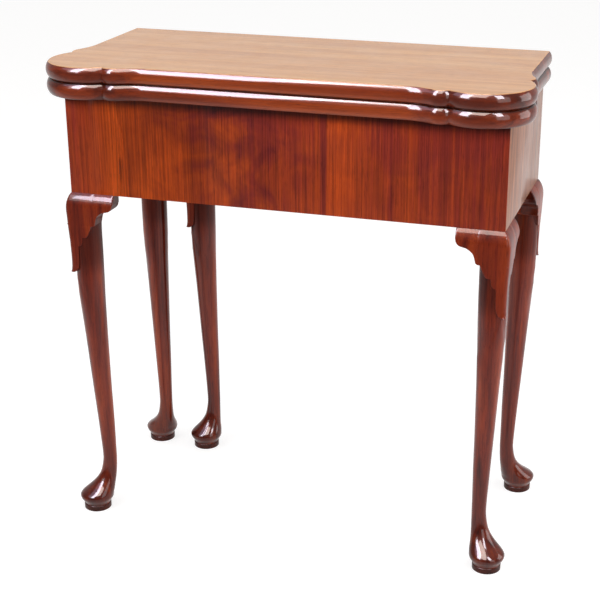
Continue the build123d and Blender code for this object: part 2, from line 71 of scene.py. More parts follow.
def linear(hex_code):
    """Turn an sRGB hex colour into the linear values that a shader works with."""
    parts = [int(hex_code[i:i + 2], 16) / 255 for i in (1, 3, 5)]
    bent = [p / 12.92 if p <= 0.04045 else ((p + 0.055) / 1.055) ** 2.4 for p in parts]
    return (*bent, 1.0)


def grey(level):
    """A neutral colour that throws back so much of the light."""
    return (level, level, level, 1.0)


def add(tree, kind, settings=(), **inputs):
    """Add one node: settings are its own properties, inputs are values, sockets or nodes.

    Of a node that is given as an input, the first output is meant.
    """
    made = tree.nodes.new(kind)
    for name, value in dict(settings).items():
        setattr(made, name, value)
    for name, value in inputs.items():
        socket = made.inputs[int(name[1:]) if name[1:].isdigit() else name.replace("_", " ")]
        if isinstance(value, bpy.types.Node):
            value = value.outputs[0]
        if isinstance(value, bpy.types.NodeSocket):
            tree.links.new(value, socket)
        else:
            socket.default_value = value
    return made


def fill_ramp(node, stops):
    """Give a colour ramp its stops, as pairs of place and hex colour or grey level."""
    ramp = node.color_ramp
    while len(ramp.elements) > 1:
        ramp.elements.remove(ramp.elements[-1])
    for index, (place, tone) in enumerate(stops):
        element = ramp.elements[0] if index == 0 else ramp.elements.new(place)
        element.position = place
        element.color = linear(tone) if isinstance(tone, str) else grey(tone)
    return node


def new_material(name):
    """An empty node material, and its tree."""
    material = bpy.data.materials.new(name)
    material.use_nodes = True
    material.node_tree.nodes.clear()
    return material, material.node_tree


def add_object(name, data):
    """Put an object with this data in the scene."""
    made = bpy.data.objects.new(name, data)
    bpy.context.scene.collection.objects.link(made)
    return made


print("hex 808080 as light:", round(linear("#808080")[0], 3))

# %% [markdown]
# The camera stands where the photographer stood: to the right of the front, above the top,
# with a long lens. Its place can be worked out from edges of the table that are straight,
# level or parallel. The picture was cropped off centre, which a small shift repeats.

# %% Camera
CAMERA_PLACE = (625.39, -1926.04, 1118.77)
AZIMUTH, ELEVATION, ROLL = 17.25, 21.85, -0.06
LENS, SENSOR, SHIFT = 83.88, 36, (-0.0431, 0.0371)


def place_camera(spot, azimuth, elevation, roll, lens, shift):
    """Put a camera at a spot, turned left of straight ahead and down by two angles."""
    ahead = Vector((
        -sin(azimuth) * cos(elevation), cos(azimuth) * cos(elevation), -sin(elevation)
    ))
    right = ahead.cross(Vector((0, 0, 1))).normalized()
    up = right.cross(ahead)
    turned = right * cos(roll) + up * sin(roll)
    lifted = up * cos(roll) - right * sin(roll)
    data = bpy.data.cameras.new("camera")
    data.lens = lens
    data.sensor_width = SENSOR
    data.shift_x, data.shift_y = shift
    camera = add_object("camera", data)
    grid = Matrix((turned, lifted, -ahead)).transposed().to_4x4()
    grid.translation = Vector(spot)
    camera.matrix_world = grid
    return camera


camera_spot = (CAMERA_PLACE[0] * MM, (CAMERA_PLACE[1] + CASE_Y) * MM, CAMERA_PLACE[2] * MM)
bpy.context.scene.camera = place_camera(
    camera_spot, radians(AZIMUTH), radians(ELEVATION), radians(ROLL), LENS, SHIFT
)
print("camera at", [round(value, 3) for value in camera_spot])

# %% [markdown]
# The table stands in a plain white studio. The world is white to the eye. As a source of
# light it is a soft grey, so that the lamps shape the wood. Polish mirrors it too, brightly
# behind the table and dimly behind the photographer, so that faces which look to the front
# keep the colour of their wood.

# %% World
FILL_STRENGTH = 0.62
ROOM_IN_FRONT, ROOM_BEHIND = 0.14, 0.70
# How far a mirrored ray points back into the room where it starts and ends to brighten.
ROOM_FROM, ROOM_TO = -0.5, 0.6


def studio_world():
    """White for the camera, a soft light for matt faces, and a room with two ends in polish."""
    world = bpy.data.worlds.new("studio")
    bpy.context.scene.world = world
    world.use_nodes = True
    tree = world.node_tree
    tree.nodes.clear()
    path = add(tree, "ShaderNodeLightPath")
    seen = add(tree, "ShaderNodeMath", {"operation": "MAXIMUM"},
               _0=path.outputs["Is Camera Ray"], _1=path.outputs["Is Transmission Ray"])
    direction = add(tree, "ShaderNodeTexCoord")
    split = add(tree, "ShaderNodeSeparateXYZ", _0=direction.outputs["Generated"])
    depth = add(tree, "ShaderNodeMapRange", EASED_ENDS, _0=split.outputs["Y"],
                _1=ROOM_FROM, _2=ROOM_TO, _3=ROOM_IN_FRONT, _4=ROOM_BEHIND)
    fill = add(tree, "ShaderNodeBackground", Color=linear("#f4f2f0"),
               Strength=FILL_STRENGTH)
    mirror = add(tree, "ShaderNodeBackground", Color=grey(1), Strength=depth)
    white = add(tree, "ShaderNodeBackground", Color=grey(1), Strength=1.0)
    shine = add(tree, "ShaderNodeMixShader",
                _0=path.outputs["Is Glossy Ray"], _1=fill, _2=mirror)
    whole = add(tree, "ShaderNodeMixShader", _0=seen, _1=shine, _2=white)
    add(tree, "ShaderNodeOutputWorld", Surface=whole)


studio_world()
bpy.context.scene.view_settings.view_transform = "Standard"
print("world", bpy.context.scene.world.name, len(bpy.context.scene.world.node_tree.nodes), "nodes")

# %% [markdown]
# Each lamp is a soft box. Four of them light the wood: key, fill, overhead and side light.
# The other four only show as reflections, as the bright parts of a room do. The windows draw
# the streaks and spots on the swelled edges, and the ceiling boxes lie on the ledges over
# the knees and on the feet. A lamp's brightness is that of its face, whatever its size.

# %% Lamps
def soft_box(name, spot, target, width, height, radiance, lights_wood=True, tint="#ffffff"):
    """A rectangular area lamp that faces a target, at a given brightness of its face."""
    data = bpy.data.lights.new(name, "AREA")
    data.shape = "RECTANGLE"
    data.size = width
    data.size_y = height
    data.energy = radiance * pi * width * height
    data.color = linear(tint)[:3]
    lamp = add_object(name, data)
    lamp.location = spot
    aim = Vector(target) - Vector(spot)
    lamp.rotation_euler = aim.to_track_quat("-Z", "Y").to_euler()
    lamp.visible_camera = False
    lamp.visible_diffuse = lights_wood


# Name, place, target, width, height and brightness, then whether it lights the wood, and tint.
LAMPS = [
    ("key", (-1.5, -2.3, 2.1), (0, 0, 0.6), 1.4, 1.2, 6.0),
    ("fill", (2.0, -1.5, 1.3), (0, 0, 0.6), 1.2, 1.6, 3.1),
    ("overhead", (-0.2, -0.3, 2.7), (-0.1, -0.1, 0.7), 2.2, 1.6, 1.6),
    ("window_left", (-0.82, -1.42, 2.02), (0, -0.16, 0.71), 0.74, 1.36, 36, False, "#f4ecff"),
    ("window_right", (1.05, -0.84, 1.65), (0.31, -0.16, 0.71), 0.36, 0.80, 34, False, "#fbf6ff"),
    ("ceiling_left", (-1.45, -1.10, 2.6), (-0.6, -0.5, 0.6), 1.3, 2.2, 3.2, False, "#e6dcff"),
    ("ceiling_right", (0.05, -1.05, 2.6), (0.1, -0.5, 0.6), 1.5, 2.2, 18.0, False, "#fff0e6"),
    ("side_light", (2.2, 0.6, 0.9), (0.3, 0, 0.6), 1.2, 1.4, 4.6),
]
for lamp_values in LAMPS:
    soft_box(*lamp_values)
print("lamps", len(bpy.data.lights))

# %% [markdown]
# Old mahogany is a red-brown wood with broad soft bands, thin darker lines and short open
# pores, under a thin clear film of shellac. Noise stretched along the grain gives all three.
# The bands set the colour, the lines darken it, and the pores also pit the surface a few
# hundredths of a millimetre deep. Real lines are under 1 mm wide and real pores under
# 0.3 mm, and vanish at this distance, so they are drawn 2 to 3 mm and about 1 mm wide. The
# film itself is never flat: brush and rubber leave broad shallow ripples.

# %% Noise along the grain
GRAIN_AXES = {"x": 0, "y": 1, "z": 2}


def stretched(tree, place, along, width, length, detail=3.0, twist=0.0, offset=0.0):
    """Noise whose blobs are so many millimetres wide, and so many long along the grain."""
    scale = [1 / (width * MM)] * 3
    scale[GRAIN_AXES[along]] = 1 / (length * MM)
    spread = add(tree, "ShaderNodeMapping", Vector=place, Scale=scale,
                 Location=(offset, offset * 0.7, offset * 0.4))
    return add(tree, "ShaderNodeTexNoise", Vector=spread, Scale=1.0, Detail=detail,
               Roughness=0.55, Distortion=twist)


def by_level(tree, place, stops):
    """A value that follows the height above the floor, from pairs of millimetres and value."""
    low, high = stops[0][0], stops[-1][0]
    level = add(tree, "ShaderNodeSeparateXYZ", _0=place).outputs["Z"]
    share = add(tree, "ShaderNodeMapRange", _0=level, _1=low * MM, _2=high * MM)
    return fill_ramp(add(tree, "ShaderNodeValToRGB", Fac=share),
                     [((spot - low) / (high - low), value) for spot, value in stops])


print("grain can run along", list(GRAIN_AXES))

# %% [markdown]
# One recipe serves all the polished wood of the table. A finish is given by the shades of
# its bands, by the size of bands and lines in millimetres, and by its shine. The colour may
# change with the height above the floor: the legs darken towards the floor, and on the case
# and the leaves it paints shade and light. The film's weight may change with height too,
# because hands wear a table high up. A solid with a clear coat over it is the shader's own
# picture of polish, so the wood below may stay rougher than the film.

# %% Polished wood
PORE_SIZE, PORE_DEPTH = (0.9, 14.0), 0.035
RIPPLE_SIZE = (26.0, 90.0)


def polished_wood(name, along, shades, band, line, shine, figure=None, offset=0.0, darkening_and_painted_light=None):
    """A shellac-polished hardwood: colour bands, dark lines, pores, and a clear film.

    Band is a width and a length, and line the same with its darkest and lightest share.
    Darkening and painted light is a list of pairs of level and share of the light that is
    left there: painted shade and light on the case and leaves, darker feet on the legs. The
    coat of a shine is its weight, or such a list.
    """
    material, tree = new_material(name)
    place = add(tree, "ShaderNodeTexCoord").outputs["Object"]
    bands = stretched(tree, place, along, band[0], band[1], 4.0, 0.6, offset)
    tone = bands
    if figure:
        tone = figure(tree, place, bands)
    colour = fill_ramp(add(tree, "ShaderNodeValToRGB", Fac=tone), shades)
    lines = stretched(tree, place, along, line[0], line[1], 4.0, 0.15, offset + 3)
    line_depth = fill_ramp(
        add(tree, "ShaderNodeValToRGB", Fac=lines), [(0.30, line[2]), (0.52, 1.0), (0.72, line[3])]
    )
    lined = add(tree, "ShaderNodeMix", MULTIPLY, _0=1.0, _6=colour, _7=line_depth)
    pores = stretched(tree, place, along, *PORE_SIZE, 1.0, 0.0, offset + 7)
    pitted = fill_ramp(add(tree, "ShaderNodeValToRGB", Fac=pores), [(0.30, 0.62), (0.42, 1.0)])
    wood = add(tree, "ShaderNodeMix", MULTIPLY, _0=0.8, _6=lined.outputs[2], _7=pitted)
    # Colour scaled by height: painted shade and light on the case and leaves, darker feet on the
    # legs.
    if darkening_and_painted_light:
        wood = add(tree, "ShaderNodeMix", MULTIPLY, _0=1.0, _6=wood.outputs[2],
                   _7=by_level(tree, place, darkening_and_painted_light))
    coat = shine["coat"]
    if isinstance(coat, list):
        coat = by_level(tree, place, coat)
    wear = add(tree, "ShaderNodeTexNoise", Vector=place, Scale=18.0, Detail=3.0)
    dull = add(tree, "ShaderNodeMapRange", _0=wear, _1=0.3, _2=0.75,
               _3=shine["rough"] - 0.05, _4=shine["rough"] + 0.09)
    ripple = stretched(tree, place, along, *RIPPLE_SIZE, 1.0, 0.0, offset + 11)
    waves = add(tree, "ShaderNodeBump", Strength=1.0, Distance=shine["ripple"] * MM, Height=ripple)
    pits = add(tree, "ShaderNodeBump", Strength=0.6, Distance=PORE_DEPTH * MM,
               Height=pitted, Normal=waves)
    finish = add(tree, "ShaderNodeBsdfPrincipled", Base_Color=wood.outputs[2], Roughness=dull,
                 Normal=pits, Coat_Weight=coat, Coat_Roughness=shine["film"], Coat_IOR=1.5,
                 Coat_Normal=waves, Specular_IOR_Level=shine["gleam"])
    add(tree, "ShaderNodeOutputMaterial", Surface=finish)
    return material


print("drawn pores are", PORE_SIZE[0], "mm wide and", PORE_SIZE[1], "mm long")

# %% [markdown]
# The leaves are solid boards with the grain along their length. The sun has bleached their
# upper face to a tan, while the edges stayed deep red and the faces that lie on each other
# never faded. An eared corner shows end grain, which drinks the stain and is darker. The
# edges are darkened with painted shade at the joint between the leaves and at the foot of
# the lower leaf. The inner faces are only seen when the top is open.

# %% Mahogany of the leaves
END_GRAIN_FROM, END_GRAIN_TO, END_GRAIN_DROP = 185, 250, 0.22


def end_grain(tree, place, bands):
    """Darken a board towards its ears, where the edge shows end grain."""
    x_share = add(tree, "ShaderNodeSeparateXYZ", _0=place).outputs["X"]
    reach = add(tree, "ShaderNodeMath", {"operation": "ABSOLUTE"}, _0=x_share)
    drop = add(tree, "ShaderNodeMapRange", EASED_ENDS, _0=reach, _1=END_GRAIN_FROM * MM,
               _2=END_GRAIN_TO * MM, _3=0.0, _4=END_GRAIN_DROP)
    return add(tree, "ShaderNodeMath", {"operation": "SUBTRACT", "use_clamp": True},
               _0=bands, _1=drop)


BOARD_BANDS = (22, 420)
edge_shades = [(0.05, "#401307"), (0.25, "#561b09"), (0.45, "#782a0b"), (0.60, "#90390e"),
               (0.78, "#a94b15")]
bleached_shades = [(0.25, "#c08350"), (0.45, "#cb8f59"), (0.60, "#d49a62"), (0.78, "#dda66e")]
unfaded_shades = [(0.25, "#5e2112"), (0.45, "#7b3219"), (0.60, "#8e3f1f"), (0.78, "#a2502a")]
edge_film = {"rough": 0.34, "coat": 0.58, "film": 0.05, "gleam": 0.05, "ripple": 0.12}
top_film = {"rough": 0.34, "coat": 0.62, "film": 0.20, "gleam": 0.22, "ripple": 0.25}
# Painted shade: the edges darken at the joint between the leaves and at the foot of the lower
# leaf.
JOINT_SHADE = [(678, 0.55), (681, 1.0), (697.5, 1.0), (700, 0.22), (702, 0.22), (704.5, 1.0),
              (724, 1.0)]
leaf_wood = polished_wood(
    "french_polished_mahogany_boards", "x", edge_shades, BOARD_BANDS, (2.6, 160, 0.80, 1.10),
    edge_film, end_grain, darkening_and_painted_light=JOINT_SHADE,
)
top_wood = polished_wood(
    "sun_bleached_mahogany_top", "x", bleached_shades, BOARD_BANDS, (2.6, 160, 0.90, 1.05),
    top_film,
)
inner_wood = polished_wood(
    "unfaded_mahogany_inside", "x", unfaded_shades, BOARD_BANDS, (2.6, 160, 0.86, 1.08),
    top_film, offset=4.0,
)
print("leaf finishes", leaf_wood.name, top_wood.name, inner_wood.name)

# %% [markdown]
# The legs were cut from denser, darker wood. Their film is full on the shank and foot and
# rubbed thin on the knee. The feet are darker towards the floor. The ground beside the
# carving and the undersides of the wings are darkened with painted shade. The shoes are
# dark, worn and dull. All of these are the same wood, so they share their shades and grain.

# %% Mahogany of the legs
LEG_BANDS, LEG_LINES = (16, 260), (2.2, 110, 0.72, 1.15)
LEG_COAT = [(0, 0.62), (70, 0.62), (125, 0.6), (390, 0.6), (430, 0.30), (506, 0.26),
            (512, 0.38), (530, 0.38)]
# The legs are darker towards the floor.
FOOT_DARKENING = [(0, 0.5), (30, 0.58), (70, 0.78), (150, 1.0)]
# Painted shade in the carving ground, deepest beside the lappets and under the knee.
CARVING_SHADE = [(400, 1.0), (420, 0.6), (482, 0.42), (530, 0.42)]
leg_shades = [(0.25, "#43120a"), (0.45, "#661e0c"), (0.60, "#7c2a0e"), (0.80, "#963c13")]
leg_film = {"rough": 0.36, "coat": LEG_COAT, "film": 0.07, "gleam": 0.04, "ripple": 0.12}
leg_wood = polished_wood(
    "french_polished_mahogany_legs", "z", leg_shades, LEG_BANDS, LEG_LINES, leg_film,
    offset=5.0, darkening_and_painted_light=FOOT_DARKENING + [(530, 1.0)],
)
# The carving ground and the wings' undersides, backs and tips get this copy with painted shade.
carving_shade_wood = polished_wood(
    "carving_ground_painted_shade", "z", leg_shades, LEG_BANDS, LEG_LINES, leg_film,
    offset=5.0, darkening_and_painted_light=FOOT_DARKENING + CARVING_SHADE,
)
shoe_wood = polished_wood(
    "dark_worn_mahogany_shoes", "z", [(0.3, "#2c0f0a"), (0.7, "#4d1d13")], (14, 40),
    (2.0, 30, 0.8, 1.1), {"rough": 0.45, "coat": 0.16, "film": 0.2, "gleam": 0.1, "ripple": 0.1},
    offset=4.0,
)
print("leg finishes", leg_wood.name, carving_shade_wood.name, shoe_wood.name)

# %% [markdown]
# The case is covered with saw-cut veneer, about two millimetres thick, laid with its grain
# upright in sheets side by side. Each sheet has its own tone: the left one ends in a bright
# orange band, the middle one is duller with purple clouds, and the right one starts at a dark
# seam and is streaked. The clouds darken upwards into a painted shade and sheen in the upper
# half, under the leaves. A ramp along the width gives these bands. Round noise gives the
# clouds, and a second ramp says where they show.

# %% Veneer
CASE_HALF_WIDTH, CASE_HALF_DEPTH = 324.0, 136.5
GRAIN_SHARE = 0.36
# Clouds are this wide, and what is cut off them grows from the low level to the high one, so that
# they darken upwards into a painted shade and sheen under the leaves.
CLOUD_SIZE, CLOUD_SHEEN_LEVELS, CLOUD_SHEEN_CUT = 70, (580, 645), (0.47, 0.66)
BAND_TONES = [
    (0.00, 0.43), (0.055, 0.50), (0.085, 0.66), (0.110, 0.88), (0.127, 0.90), (0.131, 0.74),
    (0.18, 0.72), (0.25, 0.64), (0.32, 0.44), (0.48, 0.42), (0.55, 0.40), (0.592, 0.50),
    (0.597, 0.30), (0.606, 0.34), (0.612, 0.52), (0.640, 0.60), (0.675, 0.50), (0.75, 0.38),
    (0.79, 0.48), (0.82, 0.38), (1.0, 0.38),
]
CLOUD_SPREAD = [(0.0, 0.12), (0.13, 0.15), (0.26, 0.9), (0.46, 0.9), (0.56, 0.3), (1.0, 0.2)]


def sheet_bands(tree, place, bands):
    """Shift the tone of the front veneer along its width, and cloud its middle sheet."""
    axes = add(tree, "ShaderNodeSeparateXYZ", _0=place)
    along = add(tree, "ShaderNodeMapRange", _0=axes.outputs["X"], _1=-CASE_HALF_WIDTH * MM,
                _2=CASE_HALF_WIDTH * MM, _3=0.0, _4=1.0)
    upper = add(tree, "ShaderNodeMapRange", EASED_ENDS,
                _0=axes.outputs["Z"], _1=CLOUD_SHEEN_LEVELS[0] * MM, _2=CLOUD_SHEEN_LEVELS[1] * MM,
                _3=CLOUD_SHEEN_CUT[0], _4=CLOUD_SHEEN_CUT[1])
    ramp = fill_ramp(add(tree, "ShaderNodeValToRGB", Fac=along), BAND_TONES)
    clouds = add(tree, "ShaderNodeTexNoise", Vector=place, Scale=1 / (CLOUD_SIZE * MM),
                 Detail=3.0, Distortion=1.2)
    spread = fill_ramp(add(tree, "ShaderNodeValToRGB", Fac=along), CLOUD_SPREAD)
    mixed = add(tree, "ShaderNodeMath", {"operation": "MULTIPLY_ADD"},
                _0=bands, _1=GRAIN_SHARE, _2=-GRAIN_SHARE / 2)
    banded = add(tree, "ShaderNodeMath", {"operation": "ADD"}, _0=ramp, _1=mixed)
    # Painted shade and sheen: the clouds darken towards the top of the veneer.
    cloud = add(tree, "ShaderNodeMath", {"operation": "SUBTRACT"}, _0=clouds, _1=upper)
    cloud_part = add(tree, "ShaderNodeMath", {"operation": "MULTIPLY"}, _0=cloud, _1=spread)
    return add(tree, "ShaderNodeMath", {"operation": "ADD", "use_clamp": True},
               _0=banded, _1=cloud_part)


# The veneer is a little lighter at the bottom. Just under the leaves painted light lifts it, and
# at its top a painted shadow darkens it.
VENEER_SHADE_AND_LIGHT = [(528, 1.12), (546, 1.06), (560, 1.0), (600, 1.0), (630, 1.12), (652, 1.30),
                 (659, 1.15), (664, 0.75), (669, 0.3)]
veneer_shades = [
    (0.15, "#501519"), (0.35, "#762417"), (0.50, "#91340f"), (0.64, "#ac400f"),
    (0.82, "#c84e12"), (0.95, "#d45516"),
]
veneer_film = {"rough": 0.40, "coat": 0.16, "film": 0.16, "gleam": 0.07, "ripple": 0.18}
front_veneer_wood = polished_wood(
    "saw_cut_mahogany_veneer", "z", veneer_shades, (6, 260), (2.4, 130, 0.56, 1.36), veneer_film,
    sheet_bands, 2.0, VENEER_SHADE_AND_LIGHT,
)
# The sides get a paler, tanner brown than the front, a painted sheen for the pale look that light
# gives them.
side_sheen_shades = [
    (0.15, "#512812"), (0.35, "#6d391b"), (0.52, "#824925"), (0.68, "#94592f"), (0.85, "#a66a3b"),
]
side_veneer_wood = polished_wood(
    "saw_cut_mahogany_side_veneer", "z", side_sheen_shades, (9, 300), (2.4, 120, 0.62, 1.25),
    {"rough": 0.36, "coat": 0.36, "film": 0.14, "gleam": 0.1, "ripple": 0.18}, None, 9.0,
)
print("veneers", front_veneer_wood.name, side_veneer_wood.name)

# %% [markdown]
# What is never seen from the front is plain oak, sawn and left bare: rails, blocks and the
# swinging rail. It has no film, so it is dry and rough, greyed by dust and age.

# %% Bare oak, brass and iron
def bare_oak(name, along, offset):
    """Unfinished oak with open grain, darkened by age."""
    material, tree = new_material(name)
    place = add(tree, "ShaderNodeTexCoord").outputs["Object"]
    rings = stretched(tree, place, along, 5.0, 190.0, 3.0, 0.8, offset)
    pores = stretched(tree, place, along, 1.0, 26.0, 2.0, 0.0, offset + 4)
    stain = add(tree, "ShaderNodeTexNoise", Vector=place, Scale=9.0, Detail=4.0)
    tone = fill_ramp(add(tree, "ShaderNodeValToRGB", Fac=rings),
                     [(0.3, "#5b4128"), (0.5, "#7c5c39"), (0.7, "#96744a")])
    pit = fill_ramp(add(tree, "ShaderNodeValToRGB", Fac=pores), [(0.32, 0.5), (0.45, 1.0)])
    worn = fill_ramp(add(tree, "ShaderNodeValToRGB", Fac=stain), [(0.3, 0.62), (0.65, 1.0)])
    pitted = add(tree, "ShaderNodeMix", MULTIPLY, _0=0.7, _6=tone, _7=pit)
    aged = add(tree, "ShaderNodeMix", MULTIPLY, _0=0.8, _6=pitted.outputs[2], _7=worn)
    bump = add(tree, "ShaderNodeBump", Strength=0.7, Distance=0.12 * MM, Height=pit)
    rough = add(tree, "ShaderNodeMapRange", _0=stain, _1=0.3, _2=0.7, _3=0.62, _4=0.82)
    finish = add(tree, "ShaderNodeBsdfPrincipled", Base_Color=aged.outputs[2],
                 Roughness=rough, Normal=bump, Specular_IOR_Level=0.3)
    add(tree, "ShaderNodeOutputMaterial", Surface=finish)
    return material


def old_metal(name, bright, dark, low, high):
    """Metal with the colour and sheen that handling leaves: clean on top, dull in between."""
    material, tree = new_material(name)
    place = add(tree, "ShaderNodeTexCoord").outputs["Object"]
    cloud = add(tree, "ShaderNodeTexNoise", Vector=place, Scale=1 / (9 * MM), Detail=5.0)
    tone = fill_ramp(add(tree, "ShaderNodeValToRGB", Fac=cloud),
                     [(0.36, dark), (0.6, bright)])
    rough = add(tree, "ShaderNodeMapRange", _0=cloud, _1=0.3, _2=0.7, _3=high, _4=low)
    scratch = stretched(tree, place, "x", 0.5, 9.0, 2.0)
    bump = add(tree, "ShaderNodeBump", Strength=0.3, Distance=0.02 * MM, Height=scratch)
    finish = add(tree, "ShaderNodeBsdfPrincipled", Base_Color=tone, Metallic=1.0,
                 Roughness=rough, Normal=bump)
    add(tree, "ShaderNodeOutputMaterial", Surface=finish)
    return material


oak_along_x = bare_oak("bare_aged_oak_long_rails", "x", 1.0)
oak_along_y = bare_oak("bare_aged_oak_side_rails", "y", 6.0)
oak_upright = bare_oak("bare_aged_oak_blocks", "z", 8.0)
brass = old_metal("tarnished_cast_brass", "#b8934f", "#6e5226", 0.30, 0.52)
iron = old_metal("dark_wrought_iron", "#77726c", "#37322e", 0.42, 0.66)
print("materials", len(bpy.data.materials))

# %% [markdown]
# Most pieces here are closed skins drawn by rings of points: a leaf is its outline repeated
# up its edge, and a leg is its cross-section repeated up its height. One function turns
# such rings into a mesh with a cap at each end, and one more dresses it.

# %% Ring meshes
def ring_mesh(name, rings, flip=False):
    """Join rings of equal length into a closed skin. Points are in millimetres."""
    size = len(rings[0])
    points = [Vector(point) * MM for ring in rings for point in ring]
    faces = []
    for row in range(len(rings) - 1):
        for column in range(size):
            following = (column + 1) % size
            faces.append((row * size + column, row * size + following,
                          (row + 1) * size + following, (row + 1) * size + column))
    faces.append(tuple(reversed(range(size))))
    faces.append(tuple(range((len(rings) - 1) * size, len(rings) * size)))
    if flip:
        faces = [tuple(reversed(face)) for face in faces]
    mesh = bpy.data.meshes.new(name)
    mesh.from_pydata([tuple(point) for point in points], [], faces)
    mesh.validate()
    mesh.update()
    return mesh


def soften(mesh, angle=34):
    """Shade smoothly across bends below an angle in degrees and keep real edges crisp."""
    mesh.shade_smooth()
    mesh.set_sharp_from_angle(angle=radians(angle))


def add_piece(name, mesh, body, materials, nodes):
    """Put a mesh in the scene on a body, in the place of the solids that it stands for."""
    piece = add_object(name, mesh)
    for material in materials:
        mesh.materials.append(material)
    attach(piece, body)
    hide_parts(*nodes)


trial = ring_mesh("trial", [[(0, 0, z), (1, 0, z), (1, 1, z), (0, 1, z)] for z in (0, 1)])
print("two rings of four points make a box with", len(trial.polygons), "faces")
bpy.data.meshes.remove(trial)

# %% [markdown]
# The outline of a leaf is drawn from arcs, as a maker would draw it with compasses: a large
# round ear at each front corner, a small lobe beside it, and a hollow that runs back into
# the straight edge. Between ear and lobe is a sharp nick. The same arcs with a larger or
# smaller radius give the outline anywhere up the swelled edge.

# %% Leaf outline
EAR_RADIUS, EAR_INSET = 64.5, 45.0
LOBE_RADIUS, LOBE_INSET, LOBE_RISE = 20.0, 96.0, 12.0
HOLLOW_RADIUS = 87.0
LEAF_SIDE, LEAF_FRONT, LEAF_BACK = 330.0, 159.0, 134.5


def sweep(centre, start, end, count):
    """Points along the shorter arc between two points of a circle."""
    first = atan2(start[1] - centre[1], start[0] - centre[0])
    turn = atan2(end[1] - centre[1], end[0] - centre[0]) - first
    turn = (turn + pi) % (2 * pi) - pi
    radius = hypot(start[0] - centre[0], start[1] - centre[1])
    angles = [first + turn * index / count for index in range(count + 1)]
    return [(centre[0] + radius * cos(a), centre[1] + radius * sin(a)) for a in angles]


def half_corner(grow):
    """From the ear's tip to the straight edge: distance from the corner, and outward."""
    ear, lobe = (EAR_INSET, -EAR_INSET), (LOBE_INSET, LOBE_RISE - LOBE_RADIUS)
    reach = LOBE_RADIUS + HOLLOW_RADIUS
    hollow = (lobe[0] + sqrt(reach**2 - (HOLLOW_RADIUS - lobe[1])**2), HOLLOW_RADIUS)
    ear_r, lobe_r = EAR_RADIUS + grow, LOBE_RADIUS + grow
    run = (lobe[0] - ear[0], lobe[1] - ear[1])
    apart = hypot(*run)
    near = (ear_r**2 - lobe_r**2 + apart**2) / (2 * apart)
    aside = sqrt(ear_r**2 - near**2)
    nick = (ear[0] + (near * run[0] - aside * run[1]) / apart,
            ear[1] + (near * run[1] + aside * run[0]) / apart)
    turn = tuple(lobe[i] + lobe_r * (hollow[i] - lobe[i]) / reach for i in (0, 1))
    tip = (ear[0] - ear_r * sin(pi / 4), ear[1] + ear_r * sin(pi / 4))
    return (sweep(ear, tip, nick, 22)[:-1] + sweep(lobe, nick, turn, 14)[:-1]
            + sweep(hollow, turn, (hollow[0], grow), 10))


def straight(start, end, count):
    """Evenly spaced points between two points, without the ends."""
    return [tuple(s + (e - s) * k / count for s, e in zip(start, end)) for k in range(1, count)]


def leaf_ring(grow, level, back_ease):
    """The whole outline at one height, anticlockwise from the back left corner."""
    half = half_corner(grow)
    left_side = [(-(LEAF_SIDE + h), u - LEAF_FRONT) for u, h in reversed(half)]
    left_front = [(u - LEAF_SIDE, -(LEAF_FRONT + h)) for u, h in half[1:]]
    right_front = [(-x, y) for x, y in reversed(left_front)]
    right_side = [(-x, y) for x, y in reversed(left_side)]
    back_left = (-(LEAF_SIDE + grow), LEAF_BACK - back_ease)
    back_right = (LEAF_SIDE + grow, LEAF_BACK - back_ease)
    loop = [back_left] + straight(back_left, left_side[0], 6) + left_side + left_front
    loop += straight(left_front[-1], right_front[0], 16) + right_front + right_side
    loop += straight(right_side[-1], back_right, 6) + [back_right]
    loop += straight(back_right, back_left, 20)
    return [(x, y + CASE_Y, level) for x, y in loop]


print("a leaf's outline has", len(leaf_ring(0.0, 0.0, 0.0)), "points")

# %% [markdown]
# The edge of each leaf swells out like a lens, and its corners are worn round. The back
# edge is square and hardly eased. A list of steps down the edge says how far the outline
# has grown at each height, so that a worn corner needs no bevel.

# %% Edge of a leaf
LEAF_HALF = 11.4
SWELL = 4.5


def swell_at(height):
    """How far the edge stands out at a height from the middle of the leaf."""
    arc = (LEAF_HALF**2 + SWELL**2) / (2 * SWELL)
    return sqrt(arc**2 - height**2) - (arc - SWELL)


def leaf_profile():
    """Down the edge of a leaf: outward growth, height from the middle, easing of the back."""
    worn = [(-3.0, 11.4, 3.0), (-1.6, 11.4, 1.6), (-0.6, 11.32, 0.6), (-0.02, 11.08, 0.24),
            (0.46, 10.72, 0.06), (0.86, 10.33, 0.0)]
    upper = worn + [(swell_at(z), z, 0.0) for z in (9.6, 8.6, 7.4, 6.0, 4.5, 3.0, 1.5)]
    lower = [(grow, -z, ease) for grow, z, ease in reversed(upper)]
    return upper + [(SWELL, 0.0, 0.0)] + lower


print("a leaf's edge has", len(leaf_profile()), "steps")

# %% [markdown]
# Two beds are cut in the back edge of a leaf for each brass hinge: a flat one for the plate
# and a round one for the knuckle. They could be part of the outline, but a cut is closer to
# what a chisel does, so the Boolean modifier takes them out.

# %% Hinge beds
JOINT_LEVEL, TOP_LEVEL = 701.0, 724.0
HINGE_X, HINGE_HALF, HINGE_OFFSET = 210.0, 30.0, 0.2
PLATE_DEPTH, PLATE_HEIGHT = 2.0, 17.5
KNUCKLE_RADIUS, KNUCKLE_PLAY = 3.8, 0.6


def worked(work, name):
    """The mesh that an object's modifiers give. The object itself is removed."""
    evaluated = work.evaluated_get(bpy.context.evaluated_depsgraph_get())
    result = bpy.data.meshes.new_from_object(evaluated)
    result.name = name
    result.materials.clear()
    bpy.data.objects.remove(work)
    return result


def cutter(mesh_name, make):
    """A hidden object to cut with, removed again afterwards."""
    mesh = bpy.data.meshes.new(mesh_name)
    shape = bmesh.new()
    make(shape)
    shape.to_mesh(mesh)
    shape.free()
    return add_object(mesh_name, mesh)


